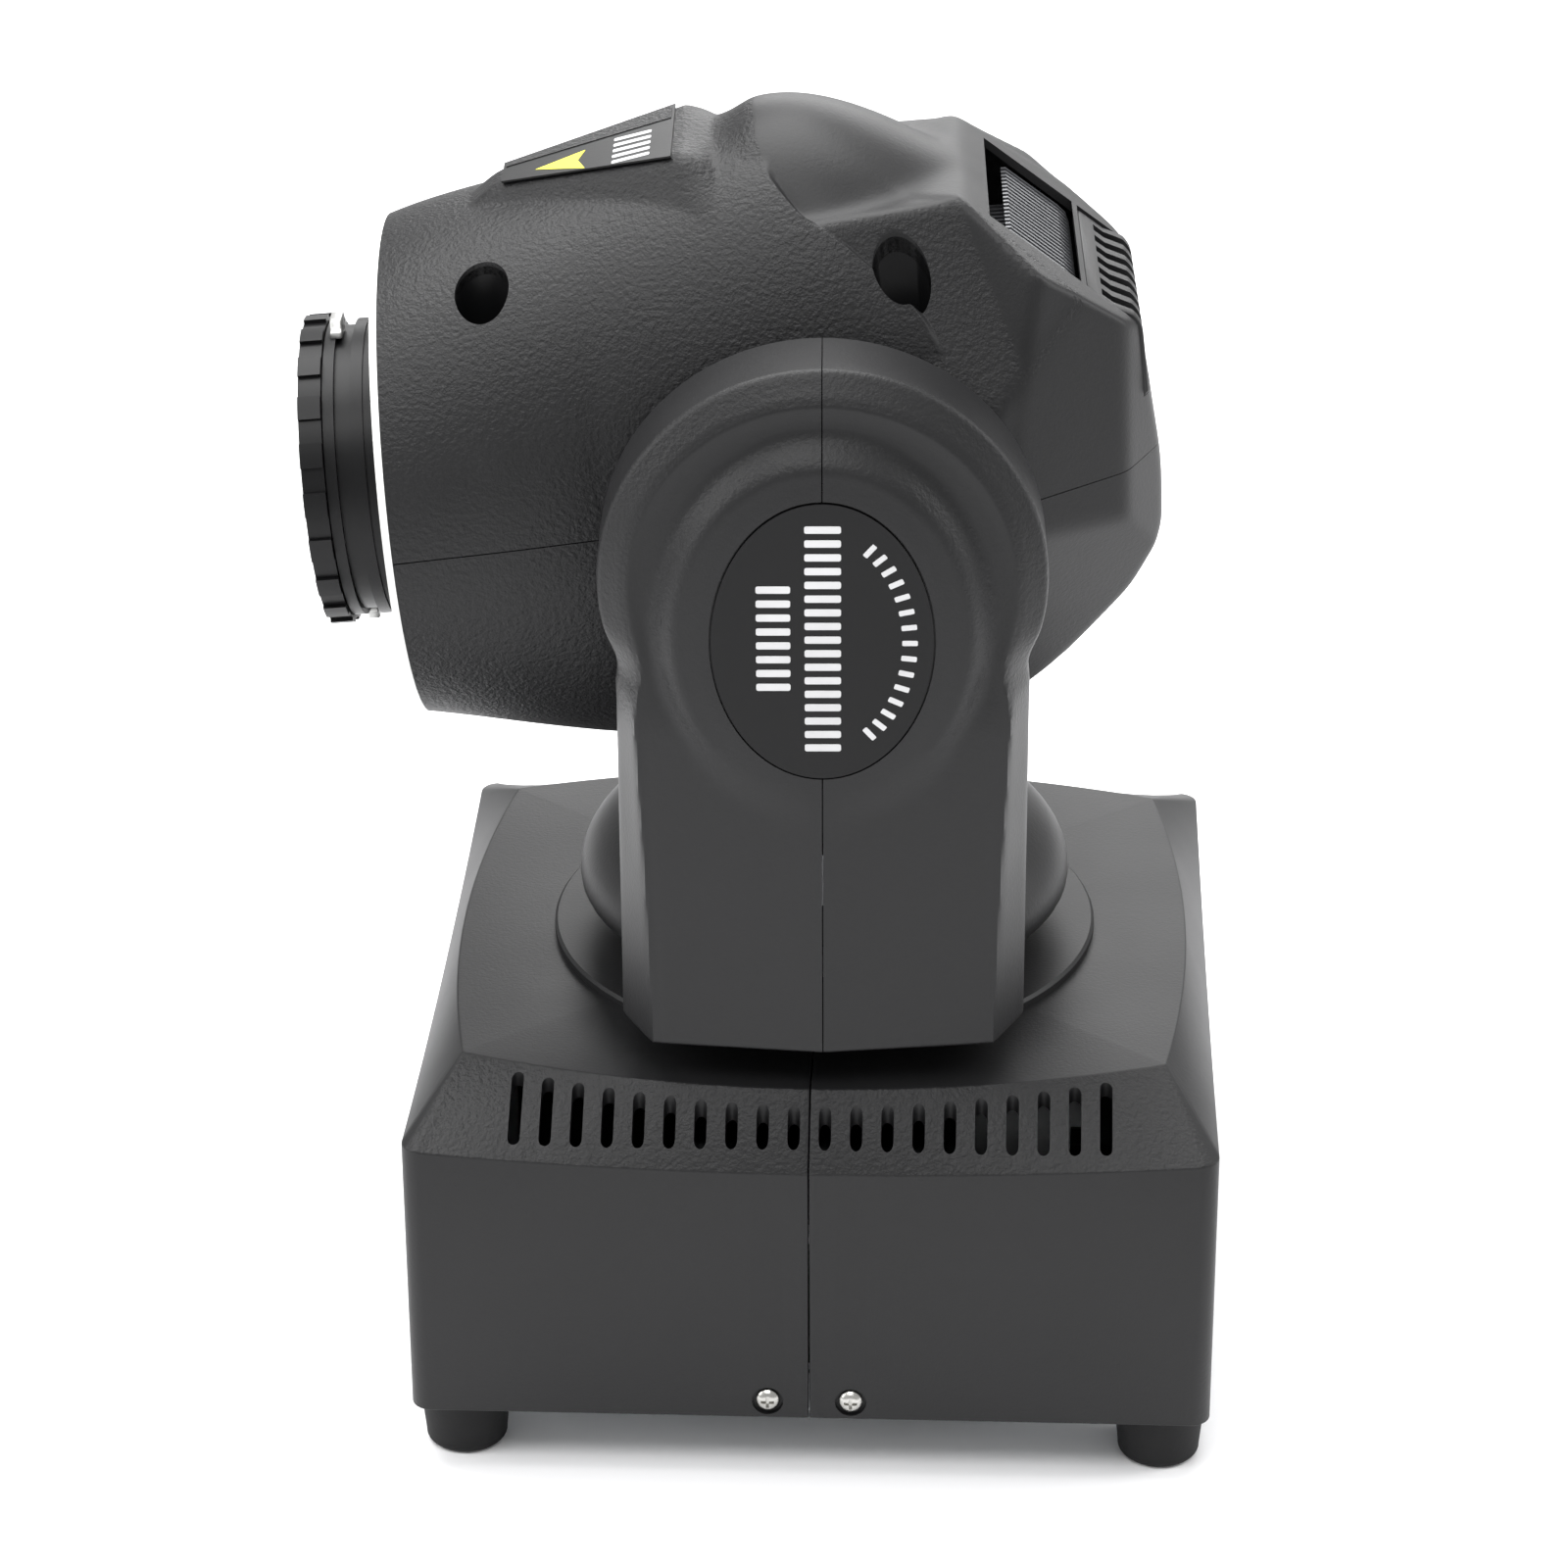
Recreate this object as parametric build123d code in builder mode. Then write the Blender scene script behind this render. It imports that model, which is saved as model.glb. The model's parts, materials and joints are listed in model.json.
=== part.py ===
from build123d import *
import math
import os

# Moving head spot light: a square base on rubber feet, a two-armed yoke that pans on it,
# and a lamp head that tilts between the arms.  Millimetres, +Z up.  The origin is on the pan
# axis, at the underside of the base plate; the lens points along -X when pan is zero.

# ---- driving dimensions ---------------------------------------------------------------
PAN_REST = 2.0           # degrees the yoke is turned from straight ahead
TILT_REST = 4.5          # degrees the lens points below the horizon

BASE_X, BASE_Y = 164.0, 168.0
BASE_CORNER = 7.0
BASE_TOP = 71.5
BASE_WALL = 2.5
FOOT_HEIGHT = 13.5
FOOT_X, FOOT_Y = 72.0, 71.5
SCREW_Z = 4.0            # height of the screws that hold the shells to the plate
SEAM = 0.12              # half the joint line between two mouldings

VENT_PITCH = 6.25
VENT_WIDTH = 2.5
VENTS_PER_HALF = 10

RING_R = 57.5            # raised disc under the yoke
RING_TOP = BASE_TOP + 2.0

YOKE_BOTTOM = 80.5
YOKE_WALL = 2.2
SKIRT_R = 51.7
BOWL_TOP = 102.0         # rim of the round bowl under the crossbar
CROSSBAR_TOP = 112.0
AXIS_Z = 179.5           # height of the tilt axis
ARM_INNER = 49.0         # arm faces, measured across the yoke
ARM_RIM = 66.0
ARM_OUTER = 75.0
ARM_HALF = 40.5
ARM_HEAD_R = 43.5
BADGE_Z = 170.5
SCOOP_R = 84.0           # hollow of the crossbar that the head swings through

HEAD_WALL = 2.2
HEAD_FRONT = -84.0
HEAD_FRONT_R = 51.0
OPTIC_Z = 4.0            # optical axis above the tilt axis
PARTING_Z = 2.0          # joint line between the two head shells
WINDOW_HALF = 23.5
WHEEL_Z = -14.0          # axis of the colour and gobo wheels

BELT_PITCH = 2.032
PAN_TEETH, PAN_MOTOR_TEETH = 80, 18
TILT_TEETH, TILT_MOTOR_TEETH = 60, 14
FLANGE = 0.8
PAN_BELT_WIDTH = 5.0
TILT_BELT_WIDTH = 2.4
PAN_PULLEY_Z = 46.0
PAN_MOTOR_X = -48.0
TILT_MOTOR_Z = 117.5
TILT_BELT_Y = 66.9
SHAFT_R = 2.5
RUNNING = 0.05           # radial clearance of a running fit

PANEL_X = BASE_X / 2 - BASE_WALL
BUTTON_PITCH = 11.0
BUTTON_R = 4.0
BUTTON_Z = 25.5
INLET_Y, SWITCH_Y, SOCKET_IN_Y, SOCKET_OUT_Y = -36.0, -10.0, 14.0, 42.0
PANEL_Z = 33.0

FOCUS_TEETH = 20
FOCUS_R = 31.7
BARREL_R = 29.0

BASE_PLACE = Location((0, 0, 0))
YOKE_PLACE = Location((0, 0, 0), (0, 0, PAN_REST))
HEAD_PLACE = YOKE_PLACE * Location((0, 0, AXIS_Z)) * Location((0, 0, 0), (0, -TILT_REST, 0))


# ---- shared pieces --------------------------------------------------------------------
def save(piece, name, place=BASE_PLACE):
    """Turn a finished piece to its rest position, label it and write its STEP file."""
    piece = piece.moved(place)
    piece.label = name
    export_step(piece, f"parts/{name}.step")


def pitch_radius(teeth):
    return teeth * BELT_PITCH / (2 * math.pi)


def tube(plane, outer_r, inner_r, length):
    """A plain ring or tube that starts on a plane."""
    with BuildPart() as ring:
        with BuildSketch(plane):
            Circle(outer_r)
            Circle(inner_r, mode=Mode.SUBTRACT)
        extrude(amount=length)
    return ring.part


def block(x, y, z):
    """A block given by its low and high faces on each axis."""
    with BuildPart() as solid:
        with Locations(((x[0] + x[1]) / 2, (y[0] + y[1]) / 2, (z[0] + z[1]) / 2)):
            Box(x[1] - x[0], y[1] - y[0], z[1] - z[0])
    return solid.part


def revolved(points, axis=Axis.Z):
    """A solid of revolution from (radius, height) points about Z."""
    with BuildPart() as solid:
        with BuildSketch(Plane.XZ):
            with BuildLine():
                Polyline(*points, close=True)
            make_face()
        revolve(axis=axis)
    return solid.part


def pan_head_screw(head_r, shank_r, shank_length):
    """A cross-recessed pan head screw with its seat at the origin and its head up."""
    head_height = head_r * 0.62
    with BuildPart() as screw:
        with BuildSketch(Plane.XZ):
            with BuildLine():
                Polyline((0, head_height), (0, -shank_length), (shank_r, -shank_length),
                         (shank_r, 0), (head_r, 0), (head_r, head_height * 0.4))
                ThreePointArc((head_r, head_height * 0.4), (head_r * 0.72, head_height * 0.86),
                              (0, head_height))
            make_face()
        revolve(axis=Axis.Z)
        with BuildSketch(Plane.XY.offset(head_height * 0.45)):
            Rectangle(head_r * 1.1, head_r * 0.26)
            Rectangle(head_r * 0.26, head_r * 1.1)
        extrude(amount=head_height, mode=Mode.SUBTRACT)
    return screw.part


def group(piece, planes):
    """Copies of one piece, one on each plane, as separate solids of one node."""
    with BuildPart() as copies:
        for plane in planes:
            add(piece.moved(plane.location))
    return copies.part


def pulley(teeth, belt_width, bore_r):
    """A flanged timing pulley standing on the origin, axis up."""
    root_r = pitch_radius(teeth) - 0.25
    flange_r = root_r + 1.3
    width = belt_width + 0.4 + 2 * FLANGE
    with BuildPart() as wheel:
        with BuildSketch(Plane.XY):
            Circle(root_r)
        extrude(amount=width)
        with BuildSketch(Plane.XY):
            with PolarLocations(root_r + 0.1, teeth):
                Circle(BELT_PITCH * 0.24)
        extrude(amount=width, mode=Mode.SUBTRACT)
        for low in (0, width - FLANGE):
            with BuildSketch(Plane.XY.offset(low)):
                Circle(flange_r)
            extrude(amount=FLANGE)
        if bore_r > 0:
            with BuildSketch(Plane.XY):
                Circle(bore_r)
            extrude(amount=width, mode=Mode.SUBTRACT)
    return wheel.part


def belt(plane, teeth_a, teeth_b, distance, width):
    """A closed belt round a pulley at the plane's origin and one along its X direction."""
    inside = 0.3
    thickness = 0.9
    with BuildPart() as loop:
        with BuildSketch(plane):
            Circle(pitch_radius(teeth_a) + inside + thickness)
            with Locations((distance, 0)):
                Circle(pitch_radius(teeth_b) + inside + thickness)
            make_hull()
        extrude(amount=width)
        with BuildSketch(plane):
            Circle(pitch_radius(teeth_a) + inside)
            with Locations((distance, 0)):
                Circle(pitch_radius(teeth_b) + inside)
            make_hull()
        extrude(amount=width, mode=Mode.SUBTRACT)
    return loop.part


def stepper(size, length):
    """A square stepper motor standing on the origin, shaft bore in its top face."""
    with BuildPart() as motor:
        with BuildSketch(Plane.XY):
            RectangleRounded(size, size, size * 0.1)
        extrude(amount=length)
        with BuildSketch(Plane.XY.offset(length)):
            Circle(SHAFT_R + RUNNING)
        extrude(amount=-length * 0.4, mode=Mode.SUBTRACT)
    return motor.part


# ---- base -----------------------------------------------------------------------------
def bowed_frame(plane, corner_x, corner_y, middle_x, middle_y):
    """A rectangle on a plane whose four sides are arcs."""
    with BuildSketch(plane) as frame:
        with BuildLine():
            ThreePointArc((-corner_x, -corner_y), (0, -middle_y), (corner_x, -corner_y))
            ThreePointArc((corner_x, -corner_y), (middle_x, 0), (corner_x, corner_y))
            ThreePointArc((corner_x, corner_y), (0, middle_y), (-corner_x, corner_y))
            ThreePointArc((-corner_x, corner_y), (-middle_x, 0), (-corner_x, -corner_y))
        make_face()
    return frame.sketch


ROOF_CORNER = (71.4, 60.7)
ROOF_MIDDLE = (77.0, 73.5)
ROOF_CORNER_SPREAD = (1.06, 2.33)    # how far the roof bands reach out per mm of fall
ROOF_MIDDLE_SPREAD = (0.385, 0.766)


def base_form(inset):
    """The base body as a solid: a square block whose roof falls away in four bowed bands."""
    top = BASE_TOP - inset
    shrink = inset * 0.4
    corner_x = ROOF_CORNER[0] - shrink
    corner_y = ROOF_CORNER[1] - shrink
    middle_x = ROOF_MIDDLE[0] - shrink
    middle_y = ROOF_MIDDLE[1] - shrink
    with BuildPart() as form:
        with BuildSketch(Plane.XY):
            RectangleRounded(BASE_X - 2 * inset, BASE_Y - 2 * inset, BASE_CORNER - inset)
        extrude(amount=top)
        foot = bowed_frame(Plane.XY, corner_x + top * ROOF_CORNER_SPREAD[0],
                           corner_y + top * ROOF_CORNER_SPREAD[1],
                           middle_x + top * ROOF_MIDDLE_SPREAD[0],
                           middle_y + top * ROOF_MIDDLE_SPREAD[1])
        crown = bowed_frame(Plane.XY.offset(top), corner_x, corner_y, middle_x, middle_y)
        loft([foot, crown], ruled=True, mode=Mode.INTERSECT)
    return form.part


def roof_edge_y(x):
    """How far the bowed front edge of the roof stands from the middle at a given x."""
    sag = ROOF_MIDDLE[1] - ROOF_CORNER[1]
    return ROOF_MIDDLE[1] - sag * (x / ROOF_CORNER[0]) ** 2


def side_screw_planes():
    """Seats of the eight screws round the foot of the base shells."""
    seat_x = BASE_X / 2 - 1.0
    seat_y = BASE_Y / 2 - 1.0
    planes = []
    for side in (-1, 1):
        for x in (-8.5, 8.5):
            planes.append(Plane((x, side * seat_y, SCREW_Z), x_dir=(1, 0, 0), z_dir=(0, side, 0)))
        for y in (-64, 64):
            planes.append(Plane((side * seat_x, y, SCREW_Z), x_dir=(0, 1, 0), z_dir=(side, 0, 0)))
    return planes


DISPLAY_Y, DISPLAY_Z = (-50.0, 50.0), (16.0, 52.0)
CONNECTOR_Y, CONNECTOR_Z = (-56.0, 60.0), (14.0, 52.0)


def base_shell(side):
    """One half of the moulded base cover; side is -1 for the display half, 1 for the sockets."""
    with BuildPart() as shell:
        add(base_form(0))
        add(base_form(BASE_WALL), mode=Mode.SUBTRACT)
        with BuildSketch(Plane.XY.offset(BASE_TOP)):
            Circle(24.3)
        extrude(amount=-10, mode=Mode.SUBTRACT)
        for y_side in (-1, 1):
            for number in range(VENTS_PER_HALF):
                x = side * VENT_PITCH * (number + 0.5)
                near = roof_edge_y(x) + 2.0
                far = 81.0
                with BuildSketch(Plane.XY.offset(BASE_TOP - 25)):
                    with Locations((x, y_side * (near + far) / 2)):
                        SlotOverall(far - near, VENT_WIDTH, rotation=90)
                extrude(amount=30, mode=Mode.SUBTRACT)
        for seat in side_screw_planes():
            with BuildSketch(seat):
                Circle(3.2)
            extrude(amount=4, mode=Mode.SUBTRACT)
            with BuildSketch(seat):
                Circle(1.6)
            extrude(amount=-4, mode=Mode.SUBTRACT)
        if side < 0:
            opening = block((-BASE_X / 2 - 1, -PANEL_X + 1), DISPLAY_Y, DISPLAY_Z)
        else:
            opening = block((PANEL_X - 1, BASE_X / 2 + 1), CONNECTOR_Y, CONNECTOR_Z)
        add(opening, mode=Mode.SUBTRACT)
        add(block((-side * 200, side * SEAM) if side > 0 else (side * SEAM, -side * 200),
                  (-100, 100), (-10, 100)), mode=Mode.SUBTRACT)
    return shell.part


def foot_planes():
    return [Plane((x, y, 0)) for x in (-FOOT_X, FOOT_X) for y in (-FOOT_Y, FOOT_Y)]


def base_plate():
    """Folded steel bottom plate with tapped bracket holes and screw flanges."""
    thickness = 1.5
    with BuildPart() as plate:
        with BuildSketch(Plane.XY):
            RectangleRounded(2 * 79.0, 2 * 81.0, 4)
        extrude(amount=thickness)
        for side in (-1, 1):
            add(block((-40, 40), sorted((side * 79.5, side * 81.0)), (0, 9)))
            add(block(sorted((side * 77.5, side * 79.0)), (-70, -58), (0, 9)))
            add(block(sorted((side * 77.5, side * 79.0)), (58, 70), (0, 9)))
        for seat in side_screw_planes():
            with BuildSketch(seat):
                Circle(1.5)
            extrude(amount=-8, mode=Mode.SUBTRACT)
        with BuildSketch(Plane.XY):
            with GridLocations(100, 100, 2, 2):
                Circle(3.0)
            with GridLocations(2 * FOOT_X, 2 * FOOT_Y, 2, 2):
                Circle(2.1)
            with Locations((0, -58)):
                with GridLocations(8, 0, 9, 1):
                    SlotOverall(20, 3, rotation=90)
        extrude(amount=thickness, mode=Mode.SUBTRACT)
    return plate.part


def rubber_foot():
    with BuildPart() as foot:
        with BuildSketch(Plane.XZ):
            with BuildLine():
                Polyline((7.0, -FOOT_HEIGHT), (2.2, -FOOT_HEIGHT), (2.2, 0), (9.6, 0), (8.4, -11.7))
                ThreePointArc((8.4, -11.7), (8.0, -13.0), (7.0, -FOOT_HEIGHT))
            make_face()
        revolve(axis=Axis.Z)
        with BuildSketch(Plane.XY.offset(-FOOT_HEIGHT)):
            Circle(4.2)
        extrude(amount=6, mode=Mode.SUBTRACT)
    return foot.part


def base_screws():
    """Shell screws, foot screws and the screws of the data sockets, all in one node."""
    foot_seats = [Plane((p.origin.X, p.origin.Y, -7.5), x_dir=(1, 0, 0), z_dir=(0, 0, -1))
                  for p in foot_planes()]
    socket_seats = []
    for y in (SOCKET_IN_Y, SOCKET_OUT_Y):
        for y_off, z_off in ((-9.8, 12.2), (9.8, -12.2)):
            socket_seats.append(Plane((PANEL_X + 1.42, y + y_off, PANEL_Z + z_off), x_dir=(0, 1, 0),
                                      z_dir=(1, 0, 0)))
    with BuildPart() as screws:
        add(group(pan_head_screw(1.9, 0.8, 0.01), socket_seats))
        add(group(pan_head_screw(2.45, 1.45, 6), side_screw_planes()))
        add(group(pan_head_screw(3.6, 2.0, 13), foot_seats))
    return screws.part


def turntable_ring():
    """Raised disc with a sleeve that carries the pan bearing."""
    return revolved([(24, BASE_TOP + 0.02), (RING_R, BASE_TOP + 0.02), (RING_R, RING_TOP - 0.6),
                     (RING_R - 0.6, RING_TOP), (21, RING_TOP), (21, 62), (18.5, 62), (18.5, 60.5),
                     (24, 60.5)])


def display_panel():
    """Recessed control panel with a window cut-out and four button holes."""
    front = -(BASE_X / 2)
    back = -PANEL_X
    y_mid = 0.0
    with BuildPart() as panel:
        add(block((front + 0.5, back), (DISPLAY_Y[0] + 0.2, DISPLAY_Y[1] - 0.2),
                  (DISPLAY_Z[0] + 0.2, DISPLAY_Z[1] - 0.2)))
        add(block((back, back + 1.2), (DISPLAY_Y[0] - 2, DISPLAY_Y[1] + 2),
                  (DISPLAY_Z[0] - 2, DISPLAY_Z[1] + 2)))
        with Locations((back, y_mid, 42.5)):
            Box(10, 60, 13, mode=Mode.SUBTRACT)
        for number in range(4):
            with BuildSketch(Plane((front, button_y(number), BUTTON_Z), x_dir=(0, 1, 0), z_dir=(1, 0, 0))):
                Circle(BUTTON_R + 0.15)
            extrude(amount=10, mode=Mode.SUBTRACT)
    return panel.part


def button_y(number):
    return (number - 1.5) * BUTTON_PITCH * 1.6


def display_window():
    """Clear pane over the digits, with a rim behind the panel."""
    front = -(BASE_X / 2)
    with BuildPart() as pane:
        add(block((front + 0.8, -PANEL_X + 1.2), (-29.8, 29.8), (36.2, 48.8)))
    return pane.part


def display_board():
    """Display circuit board with its digit block and the switches under the buttons."""
    front = -73.0
    with BuildPart() as board:
        add(block((front, front + 1.6), (-49, 49), (15, 53)))
        add(block((front - 4.5, front), (-26, 26), (37, 48)))
        for number in range(4):
            y = button_y(number)
            add(block((front - 2.0, front), (y - 3, y + 3), (BUTTON_Z - 3, BUTTON_Z + 3)))
    return board.part


def menu_button(number):
    """One push button, with a flange that stops it from leaving the panel."""
    plane = Plane((-BASE_X / 2 - 1.2, button_y(number), BUTTON_Z), x_dir=(0, 1, 0), z_dir=(1, 0, 0))
    with BuildPart() as button:
        with BuildSketch(plane):
            Circle(BUTTON_R)
        extrude(amount=5.2)
        fillet(button.edges().filter_by(GeomType.CIRCLE).sort_by(Axis.X)[0], 0.6)
        with BuildSketch(plane.offset(5.2)):
            Circle(BUTTON_R + 1.0)
        extrude(amount=0.8)
    return button.part


def connector_panel():
    """Steel plate that carries the mains inlet, the switch and the two data sockets."""
    with BuildPart() as panel:
        add(block((PANEL_X - 1.6, PANEL_X - 0.1), (CONNECTOR_Y[0] - 4, CONNECTOR_Y[1] + 4), (10, 56)))
        add(block((PANEL_X - 5, PANEL_X + 5), (INLET_Y - 13.8, INLET_Y + 13.8),
                  (PANEL_Z - 13.3, PANEL_Z + 13.3)), mode=Mode.SUBTRACT)
        add(block((PANEL_X - 5, PANEL_X + 5), (SWITCH_Y - 6.3, SWITCH_Y + 6.3),
                  (PANEL_Z - 9.5, PANEL_Z + 9.5)), mode=Mode.SUBTRACT)
        for y in (SOCKET_IN_Y, SOCKET_OUT_Y):
            with BuildSketch(Plane((PANEL_X - 5, y, PANEL_Z), x_dir=(0, 1, 0), z_dir=(1, 0, 0))):
                Circle(11.8)
            extrude(amount=10, mode=Mode.SUBTRACT)
        add(block((PANEL_X - 5, PANEL_X + 5), (SOCKET_OUT_Y - 3.2, SOCKET_OUT_Y + 3.2),
                  (PANEL_Z + 8, PANEL_Z + 14.4)), mode=Mode.SUBTRACT)
    return panel.part


def power_inlet():
    """Mains inlet: a keyed cavity with three pins, and a slot for the fuse drawer under it."""
    face = PANEL_X + 1.6
    cavity = Plane((face + 1, INLET_Y, PANEL_Z + 3.4), x_dir=(0, 1, 0), z_dir=(-1, 0, 0))
    with BuildPart() as inlet:
        add(block((face - 1.7, face), (INLET_Y - 15.5, INLET_Y + 15.5), (PANEL_Z - 15, PANEL_Z + 15)))
        add(block((face - 22, face - 1.7), (INLET_Y - 13.6, INLET_Y + 13.6),
                  (PANEL_Z - 13.1, PANEL_Z + 13.1)))
        with BuildSketch(cavity):
            with BuildLine():
                Polyline((-12, 8), (12, 8), (12, -3.5), (7.5, -8), (-7.5, -8), (-12, -3.5), close=True)
            make_face()
        extrude(amount=17, mode=Mode.SUBTRACT)
        add(block((face - 14, face + 1), (INLET_Y - 11.2, INLET_Y + 11.2),
                  (PANEL_Z - 13.6, PANEL_Z - 7.4)), mode=Mode.SUBTRACT)
        for y, z in ((-7, -2), (0, 2), (7, -2)):
            add(block((face - 16.5, face - 6), (INLET_Y + y - 1, INLET_Y + y + 1),
                      (PANEL_Z + 3.4 + z - 2, PANEL_Z + 3.4 + z + 2)))
        for y in (-7, 0, 7):
            add(block((face - 28, face - 21), (INLET_Y + y - 0.4, INLET_Y + y + 0.4),
                      (PANEL_Z - 1, PANEL_Z + 5)))
    return inlet.part


def fuse_drawer():
    """Pull-out fuse holder under the inlet."""
    face = PANEL_X + 1.6
    with BuildPart() as drawer:
        add(block((face - 13.5, face + 1.2), (INLET_Y - 10.9, INLET_Y + 10.9),
                  (PANEL_Z - 13.3, PANEL_Z - 7.7)))
        add(block((face - 12, face - 2), (INLET_Y - 9, INLET_Y + 9),
                  (PANEL_Z - 12.2, PANEL_Z - 7)), mode=Mode.SUBTRACT)
        fillet(drawer.edges().filter_by(Axis.Y).sort_by(Axis.X)[-2:], 0.5)
    return drawer.part


def switch_housing():
    """Frame of the rocker switch."""
    face = PANEL_X + 1.4
    with BuildPart() as housing:
        add(block((face - 1.5, face), (SWITCH_Y - 7.5, SWITCH_Y + 7.5), (PANEL_Z - 10.5, PANEL_Z + 10.5)))
        add(block((face - 18, face - 1.5), (SWITCH_Y - 6.2, SWITCH_Y + 6.2),
                  (PANEL_Z - 9.4, PANEL_Z + 9.4)))
        add(block((face - 10, face + 1), (SWITCH_Y - 5.2, SWITCH_Y + 5.2),
                  (PANEL_Z - 8.2, PANEL_Z + 8.2)), mode=Mode.SUBTRACT)
    return housing.part


ROCKER_X = PANEL_X - 1.0
ROCKER_TILT = 8.0


def power_rocker():
    """Rocker of the mains switch, a shallow V seen from the side, on its pivot pin."""
    with BuildPart() as rocker:
        with BuildSketch(Plane((0, SWITCH_Y - 4.8, 0), x_dir=(1, 0, 0), z_dir=(0, 1, 0))):
            with BuildLine():
                Polyline((ROCKER_X - 2.6, -PANEL_Z), (ROCKER_X - 0.8, -PANEL_Z - 6.9),
                         (ROCKER_X + 3.6, -PANEL_Z - 7.3), (ROCKER_X + 2.9, -PANEL_Z),
                         (ROCKER_X + 3.6, -PANEL_Z + 7.3), (ROCKER_X - 0.8, -PANEL_Z + 6.9), close=True)
            make_face()
        extrude(amount=9.6)
    pivot = Axis((ROCKER_X, SWITCH_Y, PANEL_Z), (0, 1, 0))
    return rocker.part.rotate(pivot, -ROCKER_TILT)


def data_socket(y, is_input):
    """A round three-pole data socket: bare pins for the input, a plug body for the output."""
    face = PANEL_X + 1.4
    front = Plane((face, y, PANEL_Z), x_dir=(0, 1, 0), z_dir=(-1, 0, 0))
    with BuildPart() as socket:
        add(block((face - 1.5, face), (y - 12.8, y + 12.8), (PANEL_Z - 15, PANEL_Z + 15)))
        with BuildSketch(front):
            Circle(11.6)
        extrude(amount=20)
        with BuildSketch(front):
            Circle(9.6)
            if not is_input:
                Circle(7.6, mode=Mode.SUBTRACT)
        extrude(amount=14, mode=Mode.SUBTRACT)
        if is_input:
            with BuildSketch(front.offset(5)):
                with PolarLocations(4.2, 3, start_angle=90):
                    Circle(1.2)
            extrude(amount=10)
        else:
            with BuildSketch(front):
                with PolarLocations(4.2, 3, start_angle=90):
                    Circle(1.4)
            extrude(amount=12, mode=Mode.SUBTRACT)
            add(block((face - 12, face + 1), (y - 2.7, y + 2.7), (PANEL_Z + 10.2, PANEL_Z + 13.8)),
                mode=Mode.SUBTRACT)
    return socket.part


def latch_button():
    """Release tab of the data output socket."""
    face = PANEL_X + 1.4
    with BuildPart() as latch:
        add(block((face - 8, face + 1.6), (SOCKET_OUT_Y - 2.4, SOCKET_OUT_Y + 2.4),
                  (PANEL_Z + 10.5, PANEL_Z + 13.5)))
        fillet(latch.edges().filter_by(Axis.Y).sort_by(Axis.X)[-2:], 0.8)
    return latch.part


def power_supply():
    """Open switching supply: board, transformer, capacitors, coil and output terminals."""
    with BuildPart() as supply:
        add(block((-60, 30), (30, 72), (7, 8.6)))
        add(block((-25, -3), (38, 62), (8.6, 28)))
        for x, y, r, h in ((-45, 60, 6.5, 26), (5, 60, 5, 22), (18, 60, 5, 22),
                           (-45, 42, 5, 15), (10, 42, 7, 12)):
            with BuildSketch(Plane.XY.offset(8.6)):
                with Locations((x, y)):
                    Circle(r)
            extrude(amount=h)
        add(block((22, 29), (34, 52), (8.6, 17)))
        with BuildSketch(Plane.XY.offset(1.5)):
            with Locations((-57, 33), (27, 33), (-57, 69), (27, 69)):
                Circle(2.5)
        extrude(amount=6)
    return supply.part


def main_board():
    """Control board with processor, drivers and plug headers."""
    with BuildPart() as board:
        add(block((-62, 50), (-74, -30), (7, 8.6)))
        add(block((-30, -16), (-58, -44), (8.6, 10.2)))
        for x in (0, 14, 28):
            add(block((x - 4, x + 4), (-56, -46), (8.6, 10.6)))
        for x in (-50, -36, -22, -8, 6, 20, 34):
            add(block((x - 5, x + 5), (-72.5, -66.5), (8.6, 15)))
        for x in (-46, 42):
            with BuildSketch(Plane.XY.offset(8.6)):
                with Locations((x, -40)):
                    Circle(4)
            extrude(amount=11)
        with BuildSketch(Plane.XY.offset(1.5)):
            with Locations((-59, -33), (47, -33), (-59, -63), (47, -63)):
                Circle(2.2)
        extrude(amount=6)
    return board.part


def pan_motor():
    """Stepper motor that turns the yoke, standing on the base plate."""
    return stepper(35.0, 36.5).moved(Location((PAN_MOTOR_X, 0, 1.5)))


def motor_pulley(teeth, belt_width, shaft_length):
    """A motor's small pulley with its shaft below it."""
    with BuildPart() as wheel:
        add(pulley(teeth, belt_width, 0))
        with BuildSketch(Plane.XY):
            Circle(SHAFT_R)
        extrude(amount=-shaft_length)
    return wheel.part


# ---- yoke -----------------------------------------------------------------------------
def pan_hub():
    """Hollow hub of the yoke: bearing journal, shoulder and mounting flange."""
    return revolved([(10, 40), (14, 40), (14, 69.3), (17.5, 69.3), (17.5, 82.9), (30, 82.9),
                     (30, 86), (10, 86)])


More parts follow.
